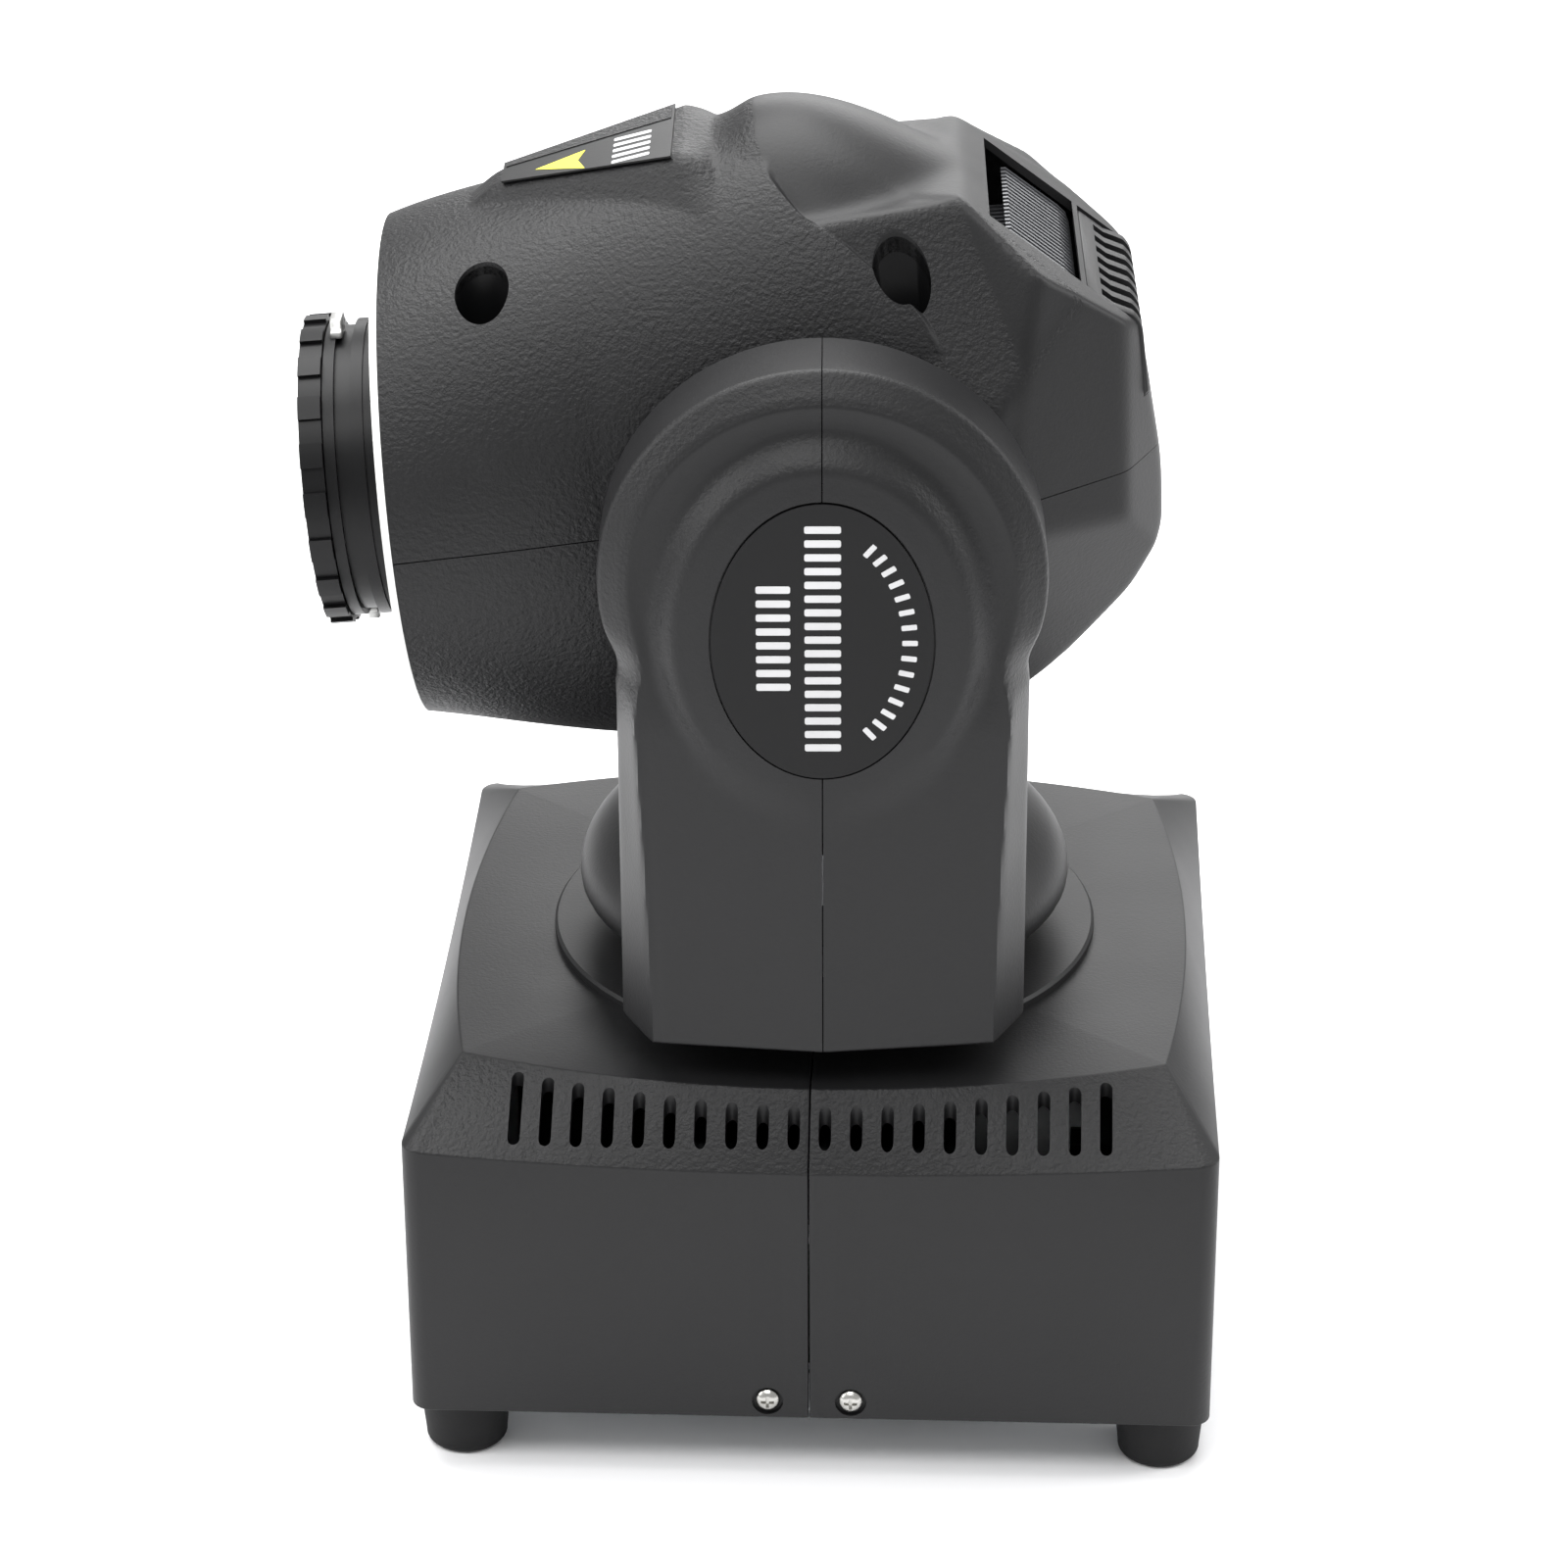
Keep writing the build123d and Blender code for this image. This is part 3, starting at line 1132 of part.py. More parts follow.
# ---- write every node -----------------------------------------------------------------
def main():
    os.makedirs("parts", exist_ok=True)

    save(base_shell(-1), "base_shell_left")
    save(base_shell(1), "base_shell_right")
    save(base_plate(), "base_plate")
    save(group(rubber_foot(), foot_planes()), "rubber_feet")
    save(base_screws(), "base_screws")
    save(turntable_ring(), "turntable_ring")
    save(tube(Plane.XY.offset(62), 21, 14 + RUNNING, 7), "pan_bearing")
    save(pan_motor(), "pan_motor")
    save(motor_pulley(PAN_MOTOR_TEETH, PAN_BELT_WIDTH, 22).moved(Location((PAN_MOTOR_X, 0, PAN_PULLEY_Z))),
         "pan_motor_pulley")
    save(belt(Plane.XY.offset(PAN_PULLEY_Z + FLANGE + 0.2), PAN_TEETH, PAN_MOTOR_TEETH, PAN_MOTOR_X,
              PAN_BELT_WIDTH), "pan_belt")
    save(display_panel(), "display_panel")
    save(display_window(), "display_window")
    save(display_board(), "display_board")
    for number in range(4):
        save(menu_button(number), f"menu_button_{number + 1}")
    save(connector_panel(), "connector_panel")
    save(power_inlet(), "power_inlet")
    save(fuse_drawer(), "fuse_drawer")
    save(switch_housing(), "switch_housing")
    save(power_rocker(), "power_rocker")
    save(data_socket(SOCKET_IN_Y, True), "data_in_socket")
    save(data_socket(SOCKET_OUT_Y, False), "data_out_socket")
    save(latch_button(), "latch_button")
    save(power_supply(), "power_supply")
    save(main_board(), "main_board")

    save(yoke_shell(-1), "yoke_shell_front", YOKE_PLACE)
    save(yoke_shell(1), "yoke_shell_rear", YOKE_PLACE)
    save(yoke_frame(), "yoke_frame", YOKE_PLACE)
    save(arm_badges(), "arm_badges", YOKE_PLACE)
    save(pan_hub(), "pan_hub", YOKE_PLACE)
    save(pulley(PAN_TEETH, PAN_BELT_WIDTH, 14).moved(Location((0, 0, PAN_PULLEY_Z))), "pan_pulley",
         YOKE_PLACE)
    save(tilt_bearings(), "tilt_bearings", YOKE_PLACE)
    save(tilt_motor(), "tilt_motor", YOKE_PLACE)
    near_arm = Plane((0, -TILT_BELT_Y, AXIS_Z), x_dir=(1, 0, 0), z_dir=(0, -1, 0))
    motor_end = Plane((0, -TILT_BELT_Y, TILT_MOTOR_Z), x_dir=(1, 0, 0), z_dir=(0, -1, 0))
    belt_side = Plane((0, -TILT_BELT_Y - FLANGE - 0.2, AXIS_Z), x_dir=(0, 0, -1), z_dir=(0, -1, 0))
    save(motor_pulley(TILT_MOTOR_TEETH, TILT_BELT_WIDTH, 5).moved(motor_end.location),
         "tilt_motor_pulley", YOKE_PLACE)
    save(belt(belt_side, TILT_TEETH, TILT_MOTOR_TEETH, AXIS_Z - TILT_MOTOR_Z, TILT_BELT_WIDTH), "tilt_belt",
         YOKE_PLACE)
    save(yoke_screws(), "yoke_screws", YOKE_PLACE)

    save(head_shell(True), "head_top_shell", HEAD_PLACE)
    save(head_shell(False), "head_bottom_shell", HEAD_PLACE)
    save(label_plate(0, 0.8), "top_label", HEAD_PLACE)
    save(rear_grille(), "rear_grille", HEAD_PLACE)
    save(front_ring(), "front_ring", HEAD_PLACE)
    save(front_plate(), "front_plate", HEAD_PLACE)
    save(focus_sleeve(), "focus_sleeve", HEAD_PLACE)
    save(head_screws(), "head_screws", HEAD_PLACE)
    save(optics_chassis(), "optics_chassis", HEAD_PLACE)
    save(tilt_trunnions(), "tilt_trunnions", HEAD_PLACE)
    tilt_pulley = pulley(TILT_TEETH, TILT_BELT_WIDTH, 8.0)
    save(tilt_pulley.moved(Location((0, 0, -AXIS_Z)) * near_arm.location), "tilt_pulley", HEAD_PLACE)
    save(heat_sink(), "heat_sink", HEAD_PLACE)
    save(fan_frame(), "fan_frame", HEAD_PLACE)
    save(fan_impeller(), "fan_impeller", HEAD_PLACE)
    save(led_module(), "led_module", HEAD_PLACE)
    save(filter_wheel(7.8, 5.6, 6, 1), "colour_wheel", HEAD_PLACE)
    save(filter_wheel(-3.8, 5.0, 7, -1), "gobo_wheel", HEAD_PLACE)
    save(wheel_motors(), "wheel_motors", HEAD_PLACE)

    save(lens_barrel(), "lens_barrel", HEAD_PLACE)
    save(lens_holder(), "lens_holder", HEAD_PLACE)
    save(focus_lens(), "focus_lens", HEAD_PLACE)
    save(focus_ring(), "focus_ring", HEAD_PLACE)


if __name__ == "__main__":
    main()
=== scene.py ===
import json
import math
import bpy
import bmesh
import numpy as np
from mathutils import Matrix, Vector


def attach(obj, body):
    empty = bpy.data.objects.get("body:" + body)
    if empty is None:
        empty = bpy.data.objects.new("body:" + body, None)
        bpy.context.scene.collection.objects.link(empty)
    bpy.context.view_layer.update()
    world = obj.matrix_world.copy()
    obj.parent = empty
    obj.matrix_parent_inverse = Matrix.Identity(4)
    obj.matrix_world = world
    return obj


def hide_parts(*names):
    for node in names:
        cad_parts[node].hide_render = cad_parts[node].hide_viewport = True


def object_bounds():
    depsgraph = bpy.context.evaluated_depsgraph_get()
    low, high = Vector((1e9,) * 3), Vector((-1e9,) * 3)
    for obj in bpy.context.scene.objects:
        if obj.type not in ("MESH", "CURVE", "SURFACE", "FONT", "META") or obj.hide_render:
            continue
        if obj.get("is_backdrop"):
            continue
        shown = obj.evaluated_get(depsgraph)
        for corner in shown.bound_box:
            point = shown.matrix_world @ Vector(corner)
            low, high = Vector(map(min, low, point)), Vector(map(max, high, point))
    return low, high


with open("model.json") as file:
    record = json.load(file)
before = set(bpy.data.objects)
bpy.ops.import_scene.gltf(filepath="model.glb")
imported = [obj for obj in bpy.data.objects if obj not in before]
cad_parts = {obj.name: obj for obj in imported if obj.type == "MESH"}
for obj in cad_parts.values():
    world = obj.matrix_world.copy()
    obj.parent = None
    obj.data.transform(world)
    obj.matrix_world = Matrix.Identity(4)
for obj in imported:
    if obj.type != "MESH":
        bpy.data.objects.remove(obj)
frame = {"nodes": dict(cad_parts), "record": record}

cad_box = [list(corner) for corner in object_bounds()]
nodes = frame["nodes"]


# ---- Studio -------------------------------------------------------------------------------
# A pale seamless sweep under large soft boxes. It is not part of the lamp.

def linear(code):
    """A linear colour, with alpha, from an sRGB hex code."""
    parts = [int(code[i:i + 2], 16) / 255 for i in (1, 3, 5)]
    return [c / 12.92 if c <= 0.04045 else ((c + 0.055) / 1.055) ** 2.4 for c in parts] + [1.0]


def node(tree, kind, settings=(), links=()):
    """Add a shader node; settings name a property or an input, links name an input and an output."""
    made = tree.nodes.new("ShaderNode" + kind)
    for name, value in dict(settings).items():
        if isinstance(name, str) and hasattr(made, name):
            setattr(made, name, value)
        else:
            made.inputs[name].default_value = value
    for name, source in dict(links).items():
        tree.links.new(source, made.inputs[name])
    return made


def plastic_finish(name, colour, rough, grain=None, relief=0.0, fine=0.0, spec=0.5, metal=0.0, coarse=0.0,
                   mottle=0.09):
    """A mottled colour and roughness, an even grain, and a coarse grain on faces marked coarse."""
    mat = bpy.data.materials.new(name)
    mat.use_nodes = True
    tree = mat.node_tree
    tree.nodes.clear()
    place = node(tree, "TexCoord").outputs["Object"]
    cloud = node(tree, "TexNoise", {"Scale": 45.0, "Detail": 4.0}, {"Vector": place}).outputs["Fac"]
    tone = node(tree, "ValToRGB", links={"Fac": cloud})
    base = linear(colour)
    tone.color_ramp.elements[0].position = 0.3
    tone.color_ramp.elements[0].color = [(1 - mottle) * c for c in base[:3]] + [1]
    tone.color_ramp.elements[1].position = 0.7
    tone.color_ramp.elements[1].color = [min(1, (1 + mottle) * c) for c in base[:3]] + [1]
    gloss = node(tree, "MapRange", {"To Min": rough - 0.04, "To Max": rough + 0.05}, {"Value": cloud})
    shader = node(tree, "BsdfPrincipled", {"Specular IOR Level": spec, "Metallic": metal},
                  {"Base Color": tone.outputs["Color"], "Roughness": gloss.outputs["Result"]})
    last = {}
    if coarse:
        mark = node(tree, "Attribute", {"attribute_name": "coarse"})
        pebble = node(tree, "TexNoise", {"Scale": 1000.0, "Detail": 2.0, "Roughness": 0.6}, {"Vector": place})
        raised = node(tree, "Math", {"operation": "MULTIPLY"}, {0: pebble.outputs["Fac"], 1: mark.outputs["Fac"]})
        bump = node(tree, "Bump", {"Strength": 1.0, "Distance": coarse}, {"Height": raised.outputs[0]})
        last = {"Normal": bump.outputs["Normal"]}
    for scale, depth in ((2600.0, fine), (1.0 / (grain or 1), relief)):
        if depth:
            speck = node(tree, "TexNoise", {"Scale": scale, "Detail": 2.0}, {"Vector": place})
            bump = node(tree, "Bump", {"Strength": 1.0, "Distance": depth}, {"Height": speck.outputs["Fac"], **last})
            last = {"Normal": bump.outputs["Normal"]}
    if last:
        tree.links.new(last["Normal"], shader.inputs["Normal"])
    node(tree, "OutputMaterial", links={"Surface": shader.outputs["BSDF"]})
    return mat


floor_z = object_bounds()[0][2]
bpy.ops.mesh.primitive_plane_add(size=12, location=(0, 0, floor_z - 0.0002))
floor = bpy.context.object
floor.name = "sweep"
floor.data.materials.append(plastic_finish("matt white paper sweep", "#f8f8f9", 0.9, spec=0.1, mottle=0.003))
floor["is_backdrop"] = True

scene = bpy.context.scene
scene.view_settings.view_transform = "Standard"
world = bpy.data.worlds.new("studio")
scene.world = world
world.use_nodes = True
world.node_tree.nodes["Background"].inputs["Color"].default_value = linear("#ffffff")
world.node_tree.nodes["Background"].inputs["Strength"].default_value = 0.6

AIM = Vector((0, 0, 0.12))
for name, place, size, watts in (("top box", (-0.15, 0.25, 1.1), (1.0, 0.8), 18),
                                 ("left box", (-1.1, -0.35, 0.75), (0.5, 0.9), 8),
                                 ("right box", (1.1, 0.1, 0.7), (0.4, 0.9), 7),
                                 ("front box", (-0.15, -0.75, 1.25), (1.0, 0.45), 7),
                                 ("back box", (0.2, 1.4, 0.7), (1.2, 0.5), 9)):
    light = bpy.data.lights.new(name, "AREA")
    light.shape = "RECTANGLE"
    light.size, light.size_y = size
    light.energy = watts
    lamp = bpy.data.objects.new(name, light)
    lamp.location = place
    lamp.rotation_euler = (AIM - Vector(place)).to_track_quat("-Z", "Y").to_euler()
    scene.collection.objects.link(lamp)

AZIMUTH, ELEVATION, ROLL = math.radians(2.77), math.radians(26.14), math.radians(-0.32)
back = Vector((math.sin(AZIMUTH) * math.cos(ELEVATION), -math.cos(AZIMUTH) * math.cos(ELEVATION),
               math.sin(ELEVATION)))
side = Vector((math.cos(AZIMUTH), math.sin(AZIMUTH), 0))
up = back.cross(side)
target = -0.00847 * side + 0.1052 * up + Vector((0, 0, floor_z))
camera = bpy.data.objects.new("camera", bpy.data.cameras.new("camera"))
scene.collection.objects.link(camera)
right = math.cos(ROLL) * side + math.sin(ROLL) * up
above = -math.sin(ROLL) * side + math.cos(ROLL) * up
camera.matrix_world = Matrix.Translation(target + back * 1.089) @ Matrix(
    (right, above, back)).transposed().to_4x4()
camera.data.sensor_width = 36
camera.data.lens = 112.88
camera.data.clip_start = 0.01
scene.camera = camera


# ---- CAD pieces ---------------------------------------------------------------------------
# The turned, stamped and bought-in pieces keep their CAD shape: feet, screws, sockets, buttons,
# focus ring, motors and steelwork. Each takes the finish of its material slot.
# Spark-eroded moulds leave ABS a fine satin skin; pebble grain on chosen faces breaks the light up.
# The pebbles are drawn about 1 mm across, a little coarser than real ones, so that they show.
ABS = plastic_finish("black ABS from a spark-eroded mould, pebble grain on some faces", "#1a1a1b", 0.46, 0.0007,
                     0.00003, 0.00001, spec=0.3, coarse=0.0003)
# Coated glass: clear and sharp in its highlights, with a faint blue tint.
GLASS = plastic_finish("coated lens glass", "#8f9db8", 0.04)
GLASS.node_tree.nodes["Principled BSDF"].inputs["Transmission Weight"].default_value = 0.85
# Turned and polished mouldings are darker and glossier than the shells, rubber is dull, plated and
# machined metals mirror the soft boxes, and lacquered or printed parts keep an even colour.
FINISH = {
    "moulded_black": ABS,
    "smooth_black": plastic_finish("black ABS, smooth turned or polished mould", "#0f0f10", 0.38, 0.0009,
                                   0.00001, spec=0.22),
    "rubber": plastic_finish("moulded nitrile rubber", "#121213", 0.7, 0.0008, 0.00004, spec=0.3),
    "sheet_steel": plastic_finish("zinc-plated sheet steel", "#9a9d9f", 0.35, 0.003, 0.00001, metal=1.0),
    "plated_steel": plastic_finish("nickel-plated steel screw", "#b9b8b4", 0.25, metal=1.0),
    "machined_aluminium": plastic_finish("machined aluminium", "#aeb0b2", 0.35, 0.0004, 0.00001, metal=1.0),
    "motor_can": plastic_finish("black lacquered steel", "#1c1c1e", 0.35, metal=0.2),
    "circuit_board": plastic_finish("green solder-masked board", "#1f4a2c", 0.35),
    "button_cap": plastic_finish("matt ABS button", "#4a4b50", 0.5),
    "white_ring": plastic_finish("white polycarbonate diffuser ring", "#f2f2f0", 0.4),
    "silver_plastic": plastic_finish("silver-lacquered plastic", "#b4b4b2", 0.35, metal=0.6),
    "lens_glass": GLASS,
    "smoked_window": plastic_finish("smoked acrylic window", "#08080a", 0.08),
    "filter_disc": plastic_finish("dichroic glass disc", "#7a5cc0", 0.1),
}
for entry in frame["record"]["subparts"]:
    skin = nodes[entry["node"]].data.materials
    skin.clear()
    skin.append(FINISH[entry["material_slot"]])


# ---- Head shells --------------------------------------------------------------------------
# The head is two injection-moulded ABS half shells, screwed together along a seam just under the
# optical axis. A round tapering nose runs back to a crease, and a smooth dome and a faceted
# tail stand behind it. The skins stand for the plainer CAD shells and ride on the head.
def mesh_piece(name, vertices, faces, material, body, place=None):
    """A named mesh object, given in millimetres in its own frame, that rides on a body."""
    mesh = bpy.data.meshes.new(name)
    points = np.asarray(vertices, float) / 1000
    mesh.from_pydata(points.tolist(), [], faces)
    if place is not None:
        mesh.transform(place)
    mesh.validate()
    piece = bpy.data.objects.new(name, mesh)
    scene.collection.objects.link(piece)
    mesh.materials.append(material)
    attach(piece, body)
    return piece


def grid_faces(rows, columns, start=0, closed=False, flip=False):
    """Quads between rows of points; closed joins each row's end to its start."""
    faces = []
    for r in range(rows - 1):
        for c in range(columns if closed else columns - 1):
            d = (c + 1) % columns
            quad = (start + r * columns + c, start + r * columns + d,
                    start + (r + 1) * columns + d, start + (r + 1) * columns + c)
            faces.append(quad[::-1] if flip else quad)
    return faces


def shade(piece, angle=32):
    """Smooth shading with edges sharper than the angle kept crisp."""
    for polygon in piece.data.polygons:
        polygon.use_smooth = True
    piece.data.set_sharp_from_angle(angle=math.radians(angle))


def mark_coarse(piece, rule, place=None):
    """Mark the faces with the coarse grain; rule takes a centre in mm and a normal in the piece's own frame."""
    back = place.inverted() if place is not None else Matrix.Identity(4)
    turn = back.to_3x3()
    marks = piece.data.attributes.new("coarse", "FLOAT", "FACE")
    marks.data.foreach_set("value", [float(rule(back @ p.center * 1000, turn @ p.normal))
                                     for p in piece.data.polygons])


def carve(piece, cutters):
    """Cut the cutters out of the piece and keep the result as its mesh."""
    for cutter in cutters:
        cut = piece.modifiers.new("cut", "BOOLEAN")
        cut.operation = "DIFFERENCE"
        cut.solver = "EXACT"
        cut.object = cutter
    bpy.context.view_layer.update()
    graph = bpy.context.evaluated_depsgraph_get()
    made = bpy.data.meshes.new_from_object(piece.evaluated_get(graph))
    piece.modifiers.clear()
    piece.data = made


def scrap(name, vertices, faces, place=None):
    """A throw-away cutter."""
    mesh = bpy.data.meshes.new(name)
    mesh.from_pydata((np.asarray(vertices, float) / 1000).tolist(), [], faces)
    if place is not None:
        mesh.transform(place)
    bm = bmesh.new()
    bm.from_mesh(mesh)
    bmesh.ops.recalc_face_normals(bm, faces=bm.faces)
    bm.to_mesh(mesh)
    bm.free()
    cutter = bpy.data.objects.new(name, mesh)
    scene.collection.objects.link(cutter)
    return cutter


def prism(name, outline, low, high, place=None):
    """A cutter from a plan outline between two heights."""
    n = len(outline)
    points = [(x, y, low) for x, y in outline] + [(x, y, high) for x, y in outline]
    faces = [tuple(range(n))[::-1], tuple(range(n, 2 * n))]
    faces += [(i, (i + 1) % n, n + (i + 1) % n, n + i) for i in range(n)]
    return scrap(name, points, faces, place)


def bin_cutters(cutters):
    for cutter in cutters:
        bpy.data.objects.remove(cutter)


def tidy(piece, distance=0.00002):
    """Merge doubled points and turn every face outwards."""
    bm = bmesh.new()
    bm.from_mesh(piece.data)
    bmesh.ops.remove_doubles(bm, verts=bm.verts, dist=distance)
    bmesh.ops.dissolve_degenerate(bm, edges=bm.edges, dist=distance / 2)
    bmesh.ops.recalc_face_normals(bm, faces=bm.faces)
    bm.to_mesh(piece.data)
    bm.free()


def step(x, low, high):
    """0 below low, 1 above high, smooth between."""
    t = np.clip((x - low) / (high - low), 0, 1)
    return t * t * (3 - 2 * t)


PAN = math.radians(2.0)        # the yoke rests turned a little
TILT = math.radians(4.5)       # and the lens points a little down
AXIS_Z = 179.5                 # tilt axis above the base plate, mm
YOKE = Matrix.Rotation(PAN, 4, "Z")
HEAD = YOKE @ Matrix.Translation((0, 0, AXIS_Z / 1000)) @ Matrix.Rotation(-TILT, 4, "Y")
OPTIC = 4.0                    # optical axis above the tilt axis, mm

# Profiles of the nose, top and bottom, and the crease where it ends, by angle from the top.
TOP = np.polyfit([-84, -76, -68, -59, -42, -18.6, -8, 3, 14],
                 [55, 57.4, 59.4, 61.2, 64.6, 70.2, 72.8, 73.6, 72.4], 5)
BOTTOM = np.polyfit([-84, -72, -60, -48, -30, 0, 30], [-47, -49.6, -52.6, -55.4, -57.6, -58, -56.6], 4)
EDGE_ANGLE = [0, 10, 18.5, 22, 25.5, 28, 30, 32, 35, 40, 46, 53.5, 70, 90, 120, 150, 180]
EDGE_X = [-8.5, -7.8, -5.6, -3.3, -0.6, 1.9, 4.9, 8.1, 11.8, 18.2, 22.6, 25.6, 30, 32, 26, 20, 18]


def planes_radius(planes, origin, way, power):
    """Distance from the origin along a direction to a rounded convex body."""
    total = 0.0
    for nx, ny, nz, d in planes:
        for mirror in ((1, -1) if ny else (1,)):
            lean = nx * way[0] + mirror * ny * way[1] + nz * way[2]
            gap = d - (nx * origin[0] + nz * origin[2])
            total = total + np.maximum(0, lean / np.maximum(gap, 0.5)) ** power
    return np.maximum(total, 1e-280) ** (-1.0 / power)


def unit(nx, ny, nz, x, y, z):
    """A plane with that normal through a point."""
    size = math.sqrt(nx * nx + ny * ny + nz * nz)
    nx, ny, nz = nx / size, ny / size, nz / size
    return nx, ny, nz, nx * x + ny * y + nz * z


# Flat faces of the tail, each a normal and a point on it in mm.
ROOF = unit(-0.055, 0, 1, 31.3, 0, 60.8)
SLOPE = unit(0.883, 0, 1, 31.3, 0, 60.8)
REAR = [unit(28, 0, 2.9, 67.9, 0, 0), unit(20, 0, -0.9, 67.9, 0, 0), unit(13, 0, -6.3, 66, 0, -16),
        unit(14.5, 0, -13, 58.7, 0, -29.5), unit(5.5, 0, -7.3, 46, 0, -43.5), unit(0.1, 0, -1, 36, 0, -51),
        unit(0.88, 0.47, 0, 66, 21, 0)]
FLANK = unit(0.115, 0.88, 0.46, 16.7, 28, 60)
FLARE = unit(-0.454, 0.853, 0.256, 31.3, 25.8, 60.8)
WALL = unit(0.52, 0.85, 0.06, 45.9, 37, 49)
LOWER = unit(0.40, 0.75, -0.534, 14, 46, -21)
CHEEK = (0, 1, 0, 46.0)
# The dome's height and half width along the head, and the raised pad under the label.
DOME = np.polyfit([-16, -12, -8.5, -3.6, 0.2, 5.9, 11.6, 17.3, 24, 31, 36, 40],
                  [72, 73.6, 74.8, 75.6, 75.1, 73.4, 71.3, 69, 65, 60.2, 56, 52], 5)
DOME_HALF = np.polyfit([-16, -12, -2.4, 2.8, 16.7, 31, 36], [25, 26.5, 28.5, 29.5, 28.5, 16, 11], 3)
PAD = [unit(-0.176, 0, 0.984, -58.8, 0, 64.2), unit(-0.338, 0.753, 0.565, -58.8, 4.9, 64.2),
       unit(-4, 0, 4.8, -60.2, 0, 64.1), unit(0.8, 0, 0.6, -17, 0, 70.8)]


def head_radius(origin, way, theta):
    """Outer surface of the head from a point on its axis along a direction."""
    x = origin[0]
    half = np.interp(x, [-84, -62, -42, 5, 20, 26, 32], [51, 48.8, 46.2, 46, 45, 44, 42])
    top = np.polyval(TOP, np.clip(x, -84, 14)) - OPTIC
    low = OPTIC - np.polyval(BOTTOM, np.clip(x, -84, 32))
    s, c = np.abs(np.sin(theta)), np.cos(theta)
    power = np.interp(x, [-84, -50, 0], [2.0, 2.08, 2.15])
    tall = np.where(c > 0, top, low)
    nose = ((s / half) ** power + (np.abs(c) / tall) ** power) ** (-1 / power)
    edge = np.interp(np.degrees(np.abs(theta)), EDGE_ANGLE, EDGE_X)
    tail = planes_radius([ROOF, SLOPE, FLANK, WALL, LOWER, CHEEK] + REAR, origin, way, 85)
    wing = planes_radius([ROOF, SLOPE, FLARE, WALL, LOWER, CHEEK] + REAR, origin, way, 85)
    dome_top = np.polyval(DOME, np.clip(x, -16, 40)) - OPTIC
    dome_half = np.polyval(DOME_HALF, np.clip(x, -16, 36))
    base = 41.0    # the dome's ellipse stands this far above the optical axis
    rise = np.maximum(dome_top - base, 2)
    a = (s / dome_half) ** 2 + (c / rise) ** 2
    b = -2 * c * base / rise ** 2
    k = (base / rise) ** 2 - 1
    root = np.maximum(b * b - 4 * a * k, 0)
    dome = np.where((b * b - 4 * a * k > 0) & (c > 0), (-b + np.sqrt(root)) / (2 * a), 1.0)
    dome = np.where(np.abs(way[0]) > 0.01, 1.0, dome)
    turn = np.degrees(np.abs(theta))
    fade = np.clip((-15 - x) / 7, 0, 1) * np.clip((36 - turn) / 8, 0, 1) * (np.abs(way[0]) < 0.01)
    pad = nose + np.maximum(planes_radius(PAD, origin, way, 90) - nose, 0) * fade
    rear = (np.maximum(tail, 1) ** 90 + np.maximum(wing, 1) ** 90) ** (1 / 90)
    rear = (rear ** 45 + np.maximum(dome, 1) ** 45) ** (1 / 45)
    grow, drop = np.clip((x - edge + 9) / 10, 0, 1), np.clip((x - edge) / 1.8, 0, 1)
    lift = (rear - nose) * np.where(rear > nose, grow * grow * (3 - 2 * grow), drop * drop * (3 - 2 * drop))
    both = np.where(np.abs(way[0]) > 0.01, rear, nose + lift)
    return np.where(fade > 0, np.maximum(both, pad), both)


def head_points(theta, u, inset=0.0):
    """Points of the head's surface; u runs from the front rim over the crease to the tail's tip."""
    FAN = 38.0
    edge = np.interp(np.degrees(np.abs(theta)), EDGE_ANGLE, EDGE_X)
    x = np.where(u < 0.5, -84 + (edge + 84) * u / 0.5,
                 np.where(u < 0.72, edge + (FAN - edge) * (u - 0.5) / 0.22, FAN))
    lift = np.clip((u - 0.72) / 0.28, 0, 1) * math.pi / 2
    way = (np.sin(lift), np.cos(lift) * np.sin(theta), np.cos(lift) * np.cos(theta))
    origin = (x, np.zeros_like(x), np.full_like(x, OPTIC))
    r = head_radius(origin, way, theta) - inset
    return np.stack([x + r * way[0], r * way[1], OPTIC + r * way[2]], -1)


def head_grain(c, n):
    """The nose and the two facets beside the dome are coarse, the dome and tail are finer."""
    edge = float(np.interp(abs(math.degrees(math.atan2(c.y, c.z - OPTIC))), EDGE_ANGLE, EDGE_X))
    if c.x < edge + 0.3:
        return 1.0 if c.z > 14 or c.x < -20 else 0.6
    on_flank = abs(FLANK[0] * c.x + FLANK[1] * abs(c.y) + FLANK[2] * c.z - FLANK[3]) < 0.35
    return 0.8 if on_flank else 0.12


def surface_z(x, y):
    """Height of the head's upper surface over a point."""
    low, high = np.full(np.shape(x), 5.0), np.full(np.shape(x), 90.0)
    for _ in range(30):
        z = (low + high) / 2
        theta = np.arctan2(y, z - OPTIC)
        way = (np.zeros_like(theta), np.sin(theta), np.cos(theta))
        r = head_radius((x, np.zeros_like(theta), np.full_like(theta, OPTIC)), way, theta)
        inside = np.hypot(y, z - OPTIC) < r
        low, high = np.where(inside, z, low), np.where(inside, high, z)
    return low


WALL_THICK = 2.2    # the shells' wall, mm


